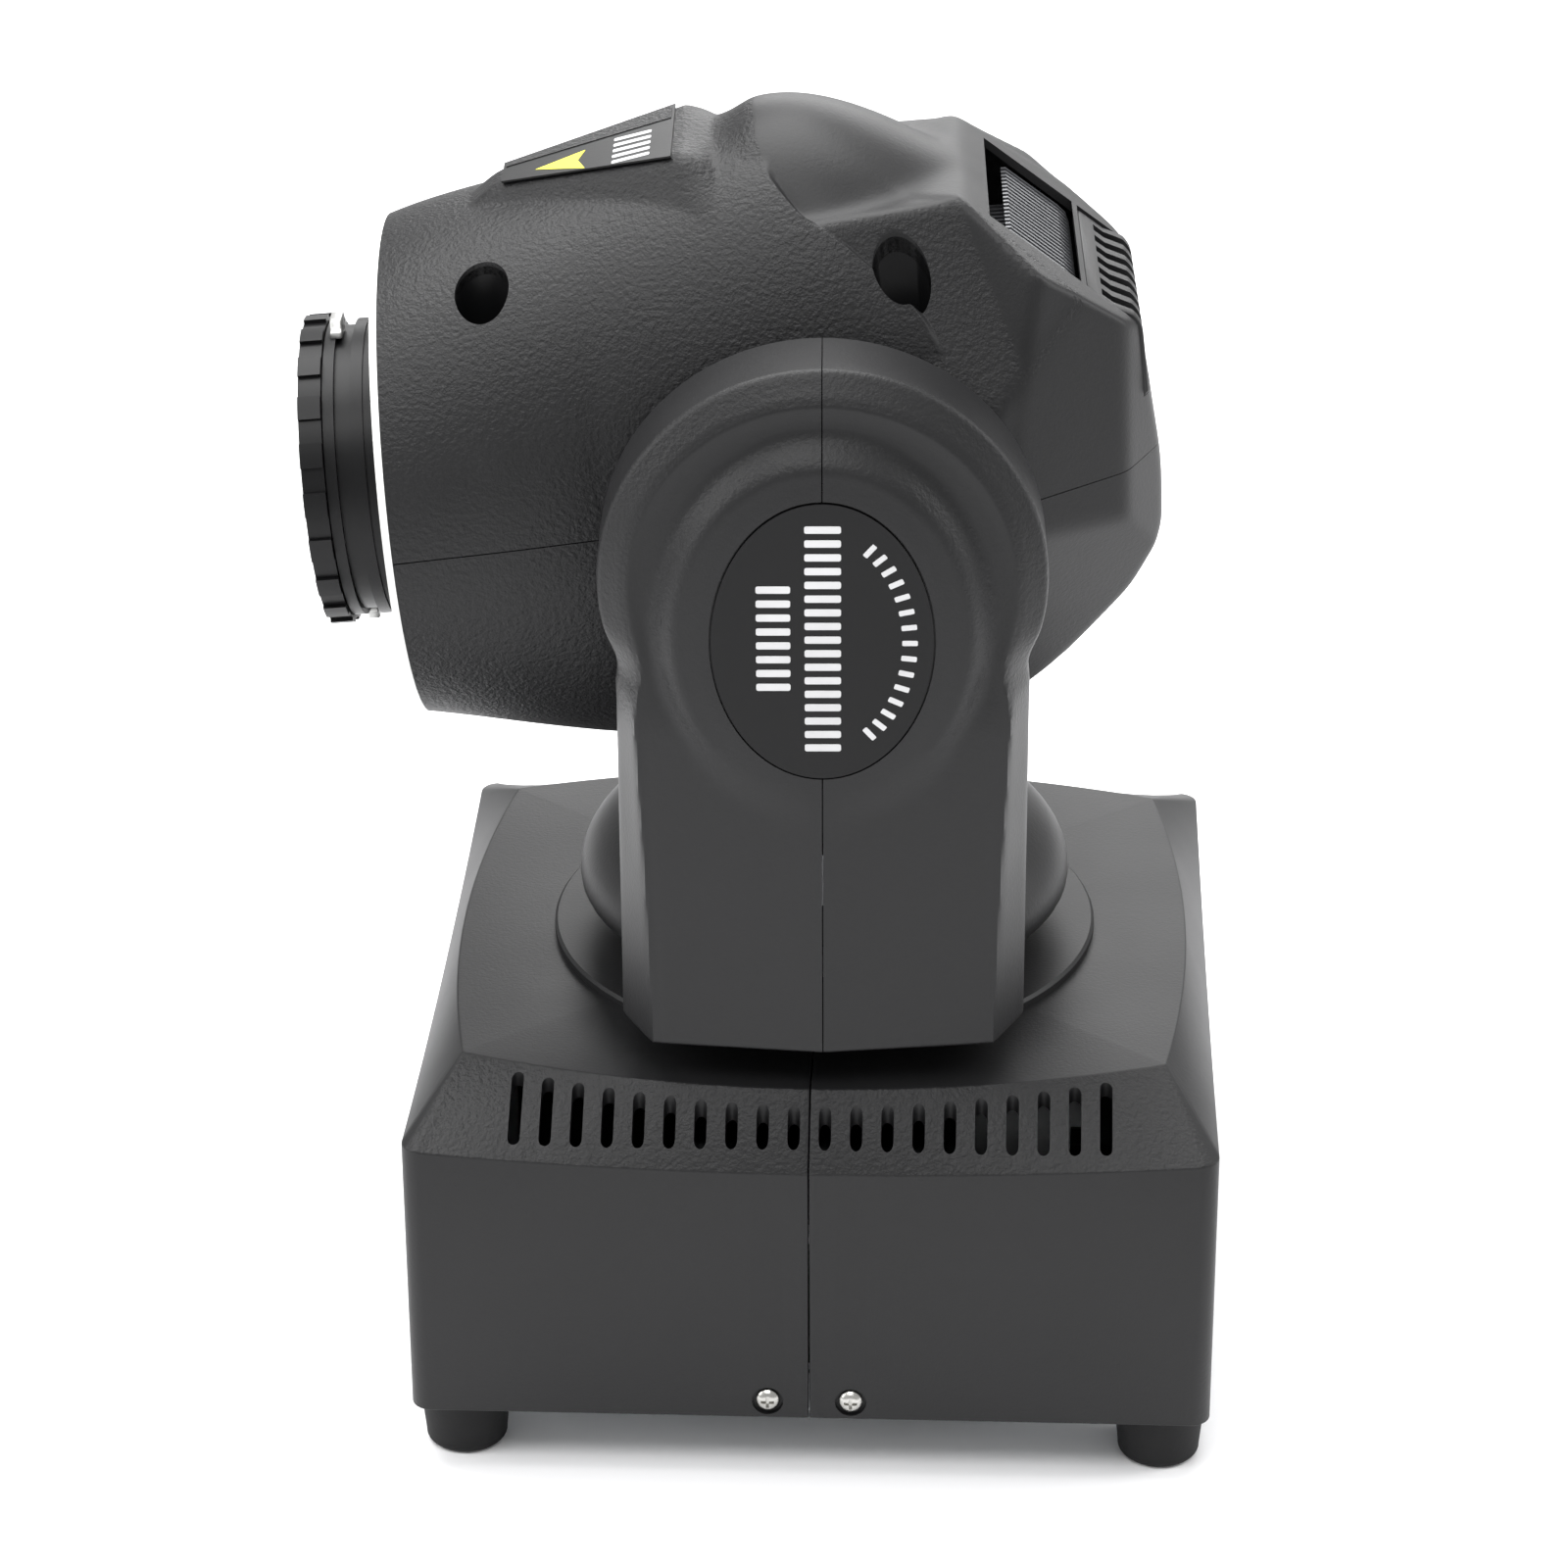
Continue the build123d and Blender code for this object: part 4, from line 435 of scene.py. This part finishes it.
def head_skin(low, high, rows, columns):
    """A closed shell of the head between two angles round its axis, 2.2 mm thick."""
    u = np.concatenate([np.linspace(0, 0.465, rows // 3), np.linspace(0.468, 0.53, rows // 5),
                        np.linspace(0.533, 0.985, rows // 2)])
    theta = np.linspace(low, high, columns)
    uu, tt = np.meshgrid(u, theta, indexing="ij")
    outer = head_points(tt, uu)
    inner = head_points(tt, uu, WALL_THICK)
    count = outer.shape[0] * outer.shape[1]
    points = np.concatenate([outer.reshape(-1, 3), inner.reshape(-1, 3)])
    R, C = outer.shape[:2]
    faces = grid_faces(R, C) + grid_faces(R, C, count, flip=True)
    rim = [c for c in range(C)] + [r * C + C - 1 for r in range(1, R)]
    rim += [(R - 1) * C + c for c in range(C - 2, -1, -1)] + [r * C for r in range(R - 2, 0, -1)]
    for i, a in enumerate(rim):
        b = rim[(i + 1) % len(rim)]
        faces.append((a, a + count, b + count, b))
    return points, faces


# Screw wells: place and half sizes of the mouth, mm.
WELLS = [(-62.8, 28.4, 5.4, 5.4), (-62.8, -28.4, 5.4, 5.4), (19.2, 33.6, 5.6, 4.0), (19.2, -33.6, 5.6, 4.0)]
quarter = math.radians(90.5)    # the seam is just under the optical axis
for name, low, high, columns, cad_node in (
        ("head_top_skin", -quarter, quarter, 230, "head_top_shell"),
        ("head_bottom_skin", quarter + 0.005, 2 * math.pi - quarter - 0.005, 120, "head_bottom_shell")):
    points, faces = head_skin(low, high, 240, columns)
    piece = mesh_piece(name, points, faces, ABS, "head", HEAD)
    bm = bmesh.new()
    bm.from_mesh(piece.data)
    bmesh.ops.recalc_face_normals(bm, faces=bm.faces)
    bm.to_mesh(piece.data)
    bm.free()
    if name == "head_top_skin":
        cutters = []
        for x, y, rx, ry in WELLS:
            ring = [(x + rx * math.cos(a), y + ry * math.sin(a)) for a in np.linspace(0, 2 * math.pi, 48, False)]
            cutters.append(prism("well", ring, 12, 90, HEAD))
        for x0, x1, low_z in ((37.0, 54.0, 20.0), (55.0, 75.0, 16.0)):
            cutters.append(prism("window", [(x0, -23.5), (x1, -23.5), (x1, 23.5), (x0, 23.5)], low_z, 80, HEAD))
        carve(piece, cutters)
        bin_cutters(cutters)
    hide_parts(cad_node)
    shade(piece, 40)
    mark_coarse(piece, head_grain, HEAD)


# The screw wells are blind tubes moulded under the upper shell, each with a seat for its screw.
for number, (x, y, rx, ry) in enumerate(WELLS):
    foot, seat = (0.5, 14.0) if x < 0 else (26.2, 31.0)
    rows = []
    for a in np.linspace(0, 2 * math.pi, 49):
        c, d = math.cos(a), math.sin(a)
        ring = [(x + (rx + more) * c, y + (ry + more) * d) for more in (1.3, 0.0)]
        top = [float(surface_z(np.array([px]), np.array([py]))[0]) - 0.9 for px, py in ring]
        (ox, oy), (ix, iy) = ring
        hx, hy = x + 1.9 * c, y + 1.9 * d
        rows.append([(ox, oy, foot), (ox, oy, max(top[0], foot + 1)), (ix, iy, max(top[1], seat + 1)),
                     (ix, iy, seat), (hx, hy, seat), (hx, hy, foot)])
    tube = mesh_piece("screw_well_%d" % (number + 1), [p for row in rows for p in row],
                      grid_faces(49, 6, closed=True), FINISH["smooth_black"], "head", HEAD)
    tidy(tube)
    shade(tube, 40)


# ---- Head label ---------------------------------------------------------------------------
# A thin printed plate glued on the raised pad, wider towards the back. Its far side is a darker
# pebble-grained strip, and its prints are a yellow arrow towards the lens and plain white bars.
PAD_SLOPE = 0.176 / 0.984


def on_pad(x, y, lift):
    return x - 0.176 * lift, y, 64.2 + (x + 58.8) * PAD_SLOPE + 0.984 * lift


def thin_plate(name, outlines, low, high, material, body, frame_of, place):
    """Flat printed or glued shapes with a real thickness; frame_of puts a plan point at a height."""
    points, faces = [], []
    for outline in outlines:
        n, start = len(outline), len(points)
        points += [frame_of(x, y, low) for x, y in outline] + [frame_of(x, y, high) for x, y in outline]
        faces += [tuple(range(start, start + n)), tuple(range(start + n, start + 2 * n))]
        faces += [(start + i, start + (i + 1) % n, start + n + (i + 1) % n, start + n + i) for i in range(n)]
    piece = mesh_piece(name, points, faces, material, body, place)
    tidy(piece, 0.000004)
    return piece


def bar(x0, x1, y0, y1, r=0.5):
    """A rectangle with rounded corners."""
    corners = ((x1 - r, y1 - r, 0), (x0 + r, y1 - r, 90), (x0 + r, y0 + r, 180), (x1 - r, y0 + r, 270))
    return [(cx + r * math.cos(math.radians(a + t)), cy + r * math.sin(math.radians(a + t)))
            for cx, cy, a in corners for t in (0, 30, 60, 90)]


PRINT_WHITE = plastic_finish("white screen print", "#c9c9ca", 0.5)
PRINT_YELLOW = plastic_finish("yellow screen print", "#e8e03a", 0.5)
plate = thin_plate("head_label", [[(-58.8, -5.6), (-24.2, -16.2), (-24.2, 16.2), (-58.8, 5.6)]], 0.02, 0.4,
                   FINISH["smooth_black"], "head", on_pad, HEAD)
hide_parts("top_label")
strip = thin_plate("head_label_strip", [[(-58.2, 2.4), (-24.8, 7.4), (-24.8, 15.4), (-58.2, 5.3)]], 0.38, 0.55,
                   ABS, "head", on_pad, HEAD)
mark_coarse(strip, lambda c, n: 1.0)
thin_plate("head_label_arrow", [[(-51.9, -3.7), (-41.6, -10.5), (-43.3, -4.6), (-42.0, 0.7)]], 0.4, 0.46,
           PRINT_YELLOW, "head", on_pad, HEAD)
thin_plate("head_label_bars", [bar(-36.2, -28.6, y, y + 1.7, 0.4) for y in (-12.1, -8.7, -5.3, -1.9, 1.5)], 0.4, 0.46,
           PRINT_WHITE, "head", on_pad, HEAD)


# ---- Heat sink and tail grille ------------------------------------------------------------
# A black anodised heat sink of thin fins shows in the sloping window, and behind it a moulded
# grille wraps from the slope over the tail.
def slab(points, faces, outline, y0, y1):
    """Add a plate with an x-z outline between two y values."""
    n, start = len(outline), len(points)
    points += [(x, y0, z) for x, z in outline] + [(x, y1, z) for x, z in outline]
    faces += [tuple(range(start, start + n)), tuple(range(start + n, start + 2 * n))]
    faces += [(start + i, start + (i + 1) % n, start + n + (i + 1) % n, start + n + i) for i in range(n)]


points, faces = [], []
slab(points, faces, [(30, -24), (34, -24), (34, 42), (30, 42)], -23, 23)
for k in range(21):
    y = (k - 10) * 2.2
    slab(points, faces, [(34, -24), (50, -24), (52.6, 30), (53.2, 37.0), (52.6, 39.3), (51.0, 41.1),
                         (41.0, 49.9), (40.0, 49.9), (40.0, 42), (34, 42)], y - 0.45, y + 0.45)
sink = mesh_piece("heat_sink_fins", points, faces,
                  plastic_finish("black anodised aluminium fins", "#5c5d60", 0.4, metal=0.6), "head",
                  HEAD)
tidy(sink, 0.000004)
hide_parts("heat_sink")

profile = [(55.2, 39.45), (60.0, 35.2)]
profile += [(59.4 + 6.2 * math.cos(a), 28.9 + 6.2 * math.sin(a)) for a in np.radians(np.linspace(46, 6, 9))]
profile += [(66.1, 17.0)]
inner = [(x - 1.5, z - 1.5) for x, z in profile]
points, faces = [], []
slab(points, faces, profile + inner[::-1], -23.3, 23.3)
grille = mesh_piece("tail_grille", points, faces, ABS, "head", HEAD)
tidy(grille)
soft = grille.modifiers.new("edge", "BEVEL")
soft.width = 0.0005
soft.segments = 2
soft.limit_method = "ANGLE"
soft.angle_limit = math.radians(40)
turn = HEAD @ Matrix.Rotation(math.pi / 2, 4, "Y")
cutters = []
for k in range(7):
    y = (k - 3) * 6.2
    shape = [(y - 1.7, 58.0), (y + 1.7, 58.0), (y + 1.7, 80), (y - 1.7, 80)]
    cutters.append(prism("grille slot", [(x, z) for z, x in shape], 22.5, 60, HEAD))
carve(grille, cutters)
bin_cutters(cutters)
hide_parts("rear_grille")
shade(grille, 35)


# ---- Lens ring and painted ring reflections -----------------------------------------------
# The polished ring behind the castellated focus ring is drawn as a black ring, painted dark where it mirrors the dark
# studio, with two silver patches, top and bottom, that are painted reflections of the bright floor and ceiling; they
# reach out past the focus ring, and each has two small holes.
rows = []
for a in np.linspace(0, 2 * math.pi, 97):
    c, d = math.cos(a), math.sin(a)
    rows.append([(x, R * d, OPTIC + R * c) for x, R in ((-98.0, 29.0), (-98.0, 30.2), (-95.8, 30.2), (-95.8, 29.0))])
# The ring's black is a painted dark reflection of the polished ring.
ring = mesh_piece("lens_ring_painted_dark_reflection", [p for row in rows for p in row], grid_faces(97, 4, closed=True),
                  FINISH["smooth_black"], "barrel", HEAD)
tidy(ring)
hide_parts("lens_holder")
shade(ring, 40)
# Silver patches at top and bottom: painted reflections of the bright floor and ceiling in the polished ring.
for name, sz in (("painted_reflection_top", 1), ("painted_reflection_bottom", -1)):
    outline = [(-4.6, 29.6), (4.6, 29.6), (4.6, 31.0), (3.4, 31.6), (2.6, 33.0), (1.4, 33.2), (-1.4, 33.2),
               (-2.6, 33.0), (-3.4, 31.6), (-4.6, 31.0)]
    clip = thin_plate(name, [outline], -96.9, -94.4, FINISH["silver_plastic"], "barrel",
                      lambda y, z, x: (x, y, OPTIC + sz * z), HEAD)
    soft = clip.modifiers.new("edge", "BEVEL")
    soft.width = 0.0004
    soft.segments = 2
    cutters = []
    for y in (-1.9, 1.9):
        hole = [(y + 0.55 * math.cos(a), 31.0 + 0.8 * math.sin(a)) for a in np.linspace(0, 2 * math.pi, 20, False)]
        n = len(hole)
        points = [(x, hy, OPTIC + sz * hz) for x in (-95.6, -93.0) for hy, hz in hole]
        faces = [tuple(range(n)), tuple(range(n, 2 * n))]
        faces += [(i, (i + 1) % n, n + (i + 1) % n, n + i) for i in range(n)]
        cutters.append(scrap("pin hole", points, faces, HEAD))
    carve(clip, cutters)
    bin_cutters(cutters)
    shade(clip, 40)


# ---- Yoke shells --------------------------------------------------------------------------
# Two moulded ABS halves, front and back, meet on a seam down the middle of each arm and hide the
# steel U. Each arm is a bevelled leg under a round head, with an oval boss for the cover disc, and
# a bowl and a crossbar join the arms. The skins stand for the CAD shells and ride on the yoke.
ARM_R = 43.5    # radius of the arm's round head, mm
LEG = 40.5      # half width of the arm's leg, mm
SEAM = 0.12     # half the gap between two shells, mm


def arm_height(x, z, e, low):
    """How far out the arm's outer face stands; e is the distance in from its outline."""
    leg = 1 - step(z, 148, 172)
    start = 58 * leg + 66 * (1 - leg)
    face = np.interp(z, [80.5, 116.5, 161.5], [34, 35, 37])
    width = (LEG - face) * leg + 6.0 * (1 - leg)
    shoulder = 71 * leg + 70.2 * (1 - leg)
    slope = np.clip(e / width, 0, 1)
    chamfer = start + (shoulder - start) * slope
    ridge = (71 + 4 * (1 - np.abs(x) / 35)) * leg + 69.6 * (1 - leg)
    flat = np.where(e > width, shoulder + (ridge - shoulder) * step(e, width, width + 3), chamfer)
    oval = np.sqrt((x / 30) ** 2 + ((z - 170.5) / 37) ** 2)
    boss = 75 - 0.4 * step(oval, 0.75, 0.95) - 5.6 * step(oval, 0.93, 1.16)
    height = np.maximum(flat, boss) + 0.35 * np.exp(-((flat - boss) / 0.8) ** 2)
    height = np.minimum(height, np.where(e < width, chamfer + 0.35, 99))
    for edge in (e, low):
        t = np.clip(1 - edge / 0.8, 0, 1)
        height = height - 0.8 * (1 - np.sqrt(1 - t * t))
    return np.minimum(height, 75.0)


def arm_half(sx, sy):
    """Half of one arm as rows of closed loops, from its foot over its round head."""
    zs = np.concatenate([80.5 + np.array([0, 0.08, 0.25, 0.5, 0.8, 1.6]), np.arange(84, 148, 3.0),
                         np.arange(148, 179.5, 0.9)])
    e = np.concatenate([np.linspace(38, 8.5, 34), np.linspace(8, 2.5, 12), [2, 1.5, 1, 0.6, 0.35, 0.15, 0.05, 0]])
    rows = []
    for z in zs:
        circle = math.sqrt(max(0, ARM_R ** 2 - (z - AXIS_Z) ** 2))
        w = LEG + (circle - LEG) * float(step(z, 155, 169))
        rows.append(((SEAM, z), (w, z), z - 80.5))
    for a in np.radians(np.linspace(0, 90, 64))[1:]:
        rows.append(((SEAM, AXIS_Z), (max(SEAM, ARM_R * math.cos(a)), AXIS_Z + ARM_R * math.sin(a)), 99))
    points = []
    for (ax, az), (bx, bz), low in rows:
        length = math.hypot(bx - ax, bz - az)
        t = np.concatenate([[0], 1 - e[e < length - 0.5] / length])
        while len(t) < len(e) + 1:
            t = np.insert(t, 1, t[0] * 0.5 + t[1] * 0.5)
        x, z = ax + (bx - ax) * t, az + (bz - az) * t
        y = arm_height(x, z, (1 - t) * length, low)
        loop = list(zip(x, y, z))
        ux, uz = (bx - ax) / length, (bz - az) / length
        loop += [(bx, 50, bz), (bx, 49.5, bz), (bx - 0.5 * ux, 49, bz - 0.5 * uz), (ax, 49, az)]
        points.append([(sx * px, sy * py, pz) for px, py, pz in loop])
    rows_n, cols = len(points), len(points[0])
    faces = grid_faces(rows_n, cols, closed=True)
    faces.append(tuple(range(cols)))
    faces.append(tuple(range((rows_n - 1) * cols, rows_n * cols)))
    return [p for row in points for p in row], faces


def bowl_half(sx):
    """Half of the round bowl and of the crossbar that joins the two arms."""
    profile = [(0.0, 80.5), (47.7, 80.5), (49.4, 80.9), (50.8, 82.0), (51.5, 83.5), (51.7, 85), (51.6, 87),
               (51.2, 89), (50.4, 91), (49.1, 93.2), (47.4, 95.4), (45.2, 97.6), (42.6, 99.8), (39.8, 102)]
    profile += [(r, 102.0) for r in np.linspace(37, 0, 19)]
    points = []
    for a in np.radians(np.linspace(-90, 90, 91)):
        for r, z in profile:
            x = max(SEAM, r * math.cos(a))
            points.append((sx * x, r * math.sin(a), min(z, AXIS_Z - math.sqrt(84 ** 2 - x * x))))
    n = len(profile)
    faces = grid_faces(91, n)
    faces += [tuple(range(n)), tuple(range(90 * n, 91 * n))]
    base = len(points)
    section = [(SEAM, 80.5), (39.9, 80.5), (40.5, 81.1)] + [(x, AXIS_Z - math.sqrt(84 ** 2 - x * x))
                                            for x in (40.5, 36, 31, 26, 21, 16, 11, 6, SEAM)]
    m = len(section)
    points += [(sx * x, y, z) for y in (-52, 52) for x, z in section]
    faces += grid_faces(2, m, base, closed=True)
    faces += [tuple(range(base, base + m)), tuple(range(base + m, base + 2 * m))]
    return points, faces


def yoke_grain(c, n):
    """The bevelled rim of the arm's round head is coarse, the flat faces are fine."""
    return 0.55 if 0.25 < abs(n.y) < 0.93 and c.z > 150 and abs(c.y) > 60 else 0.1


for name, sx, cad_node in (("yoke_front_skin", -1, "yoke_shell_front"), ("yoke_rear_skin", 1, "yoke_shell_rear")):
    points, faces = bowl_half(sx)
    for sy in (-1, 1):
        more, quads = arm_half(sx, sy)
        faces += [tuple(i + len(points) for i in q) for q in quads]
        points += more
    piece = mesh_piece(name, points, faces, ABS, "yoke", YOKE)
    tidy(piece)
    ring = [(21.75 * math.cos(a), 29.15 * math.sin(a)) for a in np.linspace(0, 2 * math.pi, 72, False)]
    turn = YOKE @ Matrix.Translation((0, 0, 0.1705)) @ Matrix.Rotation(math.pi / 2, 4, "X")
    cutters = [prism("oval", ring, 74.15, 80, turn), prism("oval", ring, -80, -74.15, turn)]
    carve(piece, cutters)
    bin_cutters(cutters)
    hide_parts(cad_node)
    shade(piece, 34)
    mark_coarse(piece, yoke_grain, YOKE)


# ---- Arm badges ---------------------------------------------------------------------------
# Smooth oval cover discs pressed into the arms, printed with plain white bars in two columns and
# an arc of short dashes; they carry no words.
marks = [bar(-12.7, -6.1, z, z + 1.5, 0.4) for z in np.linspace(-10.0, 10.4, 8)]
marks += [bar(-3.4, 3.6, z, z + 1.5, 0.4) for z in np.linspace(-22.9, 22.8, 17)]
for a in np.radians(np.linspace(-58, 58, 15)):
    cx, cz = 16.4 * math.cos(a) + 0.4, 22.6 * math.sin(a)
    lean = math.atan2(cz / 22.6 ** 2, cx / 16.4 ** 2)
    dash = bar(-1.5, 1.5, -0.55, 0.55, 0.25)
    marks.append([(cx + x * math.cos(lean) - z * math.sin(lean), cz + x * math.sin(lean) + z * math.cos(lean))
                  for x, z in dash])
for name, sy in (("badge_print_near", -1), ("badge_print_far", 1)):
    thin_plate(name, marks, 0.0, 0.06, PRINT_WHITE, "yoke",
               lambda x, z, lift: (-sy * x, sy * (75.2 + lift), 170.5 + z), YOKE)


# ---- Base shells --------------------------------------------------------------------------
# The base cover is two moulded ABS halves, left and right, screwed to the steel base plate. Its
# flat top bows out at the sides, pebble-grained bands slope to the walls, and twenty slots in the
# front and the back band let the air through. The skins stand for the CAD shells.
def base_half(sx):
    """One half of the base cover as closed loops round its wall, from seam to seam."""
    wall, roof = [], []
    steps = 40
    for i in range(steps + 1):
        t = i / steps
        x = SEAM + (82 - 4 - SEAM) * t
        wall.append((x, -84.0, 57.8 + 3.7 * (x / 82) ** 2))
        rx = SEAM + (71.4 - 0.8 - SEAM) * t
        roof.append((rx, -(73.5 - 12.8 * (rx / 71.4) ** 2), 71.5))
    for a in np.linspace(-90, 0, 9)[1:-1]:
        r = math.radians(a)
        wall.append((78 + 4 * math.cos(r), -80 + 4 * math.sin(r), 61.4))
        roof.append((70.6 + 0.8 * math.cos(r), -60.0 + 0.9 * math.sin(r), 71.5))
    for i in range(2 * steps + 1):
        t = -1 + 2 * i / (2 * steps)
        wall.append((82.0, 80 * t, 58.5 + 3.0 * t * t))
        roof.append((77 - 5.6 * t * t, 60.0 * t, 71.5))
    for a in np.linspace(0, 90, 9)[1:-1]:
        r = math.radians(a)
        wall.append((78 + 4 * math.cos(r), 80 + 4 * math.sin(r), 61.4))
        roof.append((70.6 + 0.8 * math.cos(r), 60.0 + 0.9 * math.sin(r), 71.5))
    for i in range(steps, -1, -1):
        wall.append((wall[i][0], 84.0, wall[i][2]))
        roof.append((roof[i][0], -roof[i][1], 71.5))
    wall, roof = np.array(wall), np.array(roof)
    n = len(wall)
    angle = np.linspace(-90, 90, n)
    hole = np.array([(max(SEAM, 24.3 * math.cos(math.radians(a))), 24.3 * math.sin(math.radians(a)), 71.5)
                     for a in angle])
    foot = wall * (1, 1, 0)

    def pull(ring, dx, dy, dz):
        moved = ring.copy()
        moved[:, 0] = np.maximum(SEAM, ring[:, 0] * (1 - dx / 82))
        moved[:, 1] = ring[:, 1] * (1 - dy / 84)
        moved[:, 2] = ring[:, 2] - dz
        return moved

    rings = [foot, wall, roof, hole, pull(hole, 0, 0, 2.5), pull(roof, 1.6, 1.6, 2.5),
             pull(wall, 2.5, 2.5, 1.2), pull(foot, 2.5, 2.5, 0)]
    points = np.concatenate(rings) * (sx, 1, 1)
    faces = []
    for k in range(len(rings)):
        a, b = k * n, ((k + 1) % len(rings)) * n
        faces += [(a + i, a + i + 1, b + i + 1, b + i) for i in range(n - 1)]
    faces += [tuple(k * n for k in range(len(rings))), tuple(k * n + n - 1 for k in range(len(rings)))]
    return points, faces


def slot_outline(x, near, far, half=1.25):
    """A vent slot with round ends, across the front or back band."""
    ends = [(x + half * math.cos(a), far - half + half * math.sin(a)) for a in np.linspace(0, math.pi, 9)]
    return ends + [(x + half * math.cos(a), near + half + half * math.sin(a))
                   for a in np.linspace(math.pi, 2 * math.pi, 9)]


for name, sx, cad_node in (("base_left_skin", -1, "base_shell_left"), ("base_right_skin", 1, "base_shell_right")):
    points, faces = base_half(sx)
    piece = mesh_piece(name, points, faces, ABS, "base")
    tidy(piece)
    soft = piece.modifiers.new("edge", "BEVEL")
    soft.width = 0.0009
    soft.segments = 3
    soft.limit_method = "ANGLE"
    soft.angle_limit = math.radians(18)
    soft.use_clamp_overlap = True
    cutters = []
    for sy in (-1, 1):
        for k in range(10):
            x = sx * 6.25 * (k + 0.5)
            near = 73.5 - 12.8 * (x / 71.4) ** 2 + 2.0
            outline = [(px, sy * py) for px, py in slot_outline(x, near, 81.0)]
            cutters.append(prism("slot", outline, 40, 80))
        for x in (-8.5, 8.5):
            if x * sx > 0:
                well = [(x + 3.2 * math.cos(a), 4.0 + 3.2 * math.sin(a))
                        for a in np.linspace(0, 2 * math.pi, 32, False)]
                turn = Matrix.Rotation(math.pi / 2, 4, "X")
                cutters.append(prism("screw seat", well, 83, 90,
                                     turn if sy < 0 else Matrix.Scale(-1, 4, (0, 1, 0)) @ turn))
    x0, x1, y0, y1, z0, z1 = (-83, -78.5, -50, 50, 16, 52) if sx < 0 else (78.5, 83, -56, 60, 14, 52)
    cutters.append(prism("panel opening", [(x0, y0), (x1, y0), (x1, y1), (x0, y1)], z0, z1))
    carve(piece, cutters)
    bin_cutters(cutters)
    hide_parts(cad_node)
    shade(piece, 30)
    mark_coarse(piece, lambda c, n: 0.9 if 0.3 < n.z < 0.93 and abs(n.y) > 0.3 and c.z > 50 else 0.08)


size = {"cad": cad_box, "visual": [list(corner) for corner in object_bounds()]}
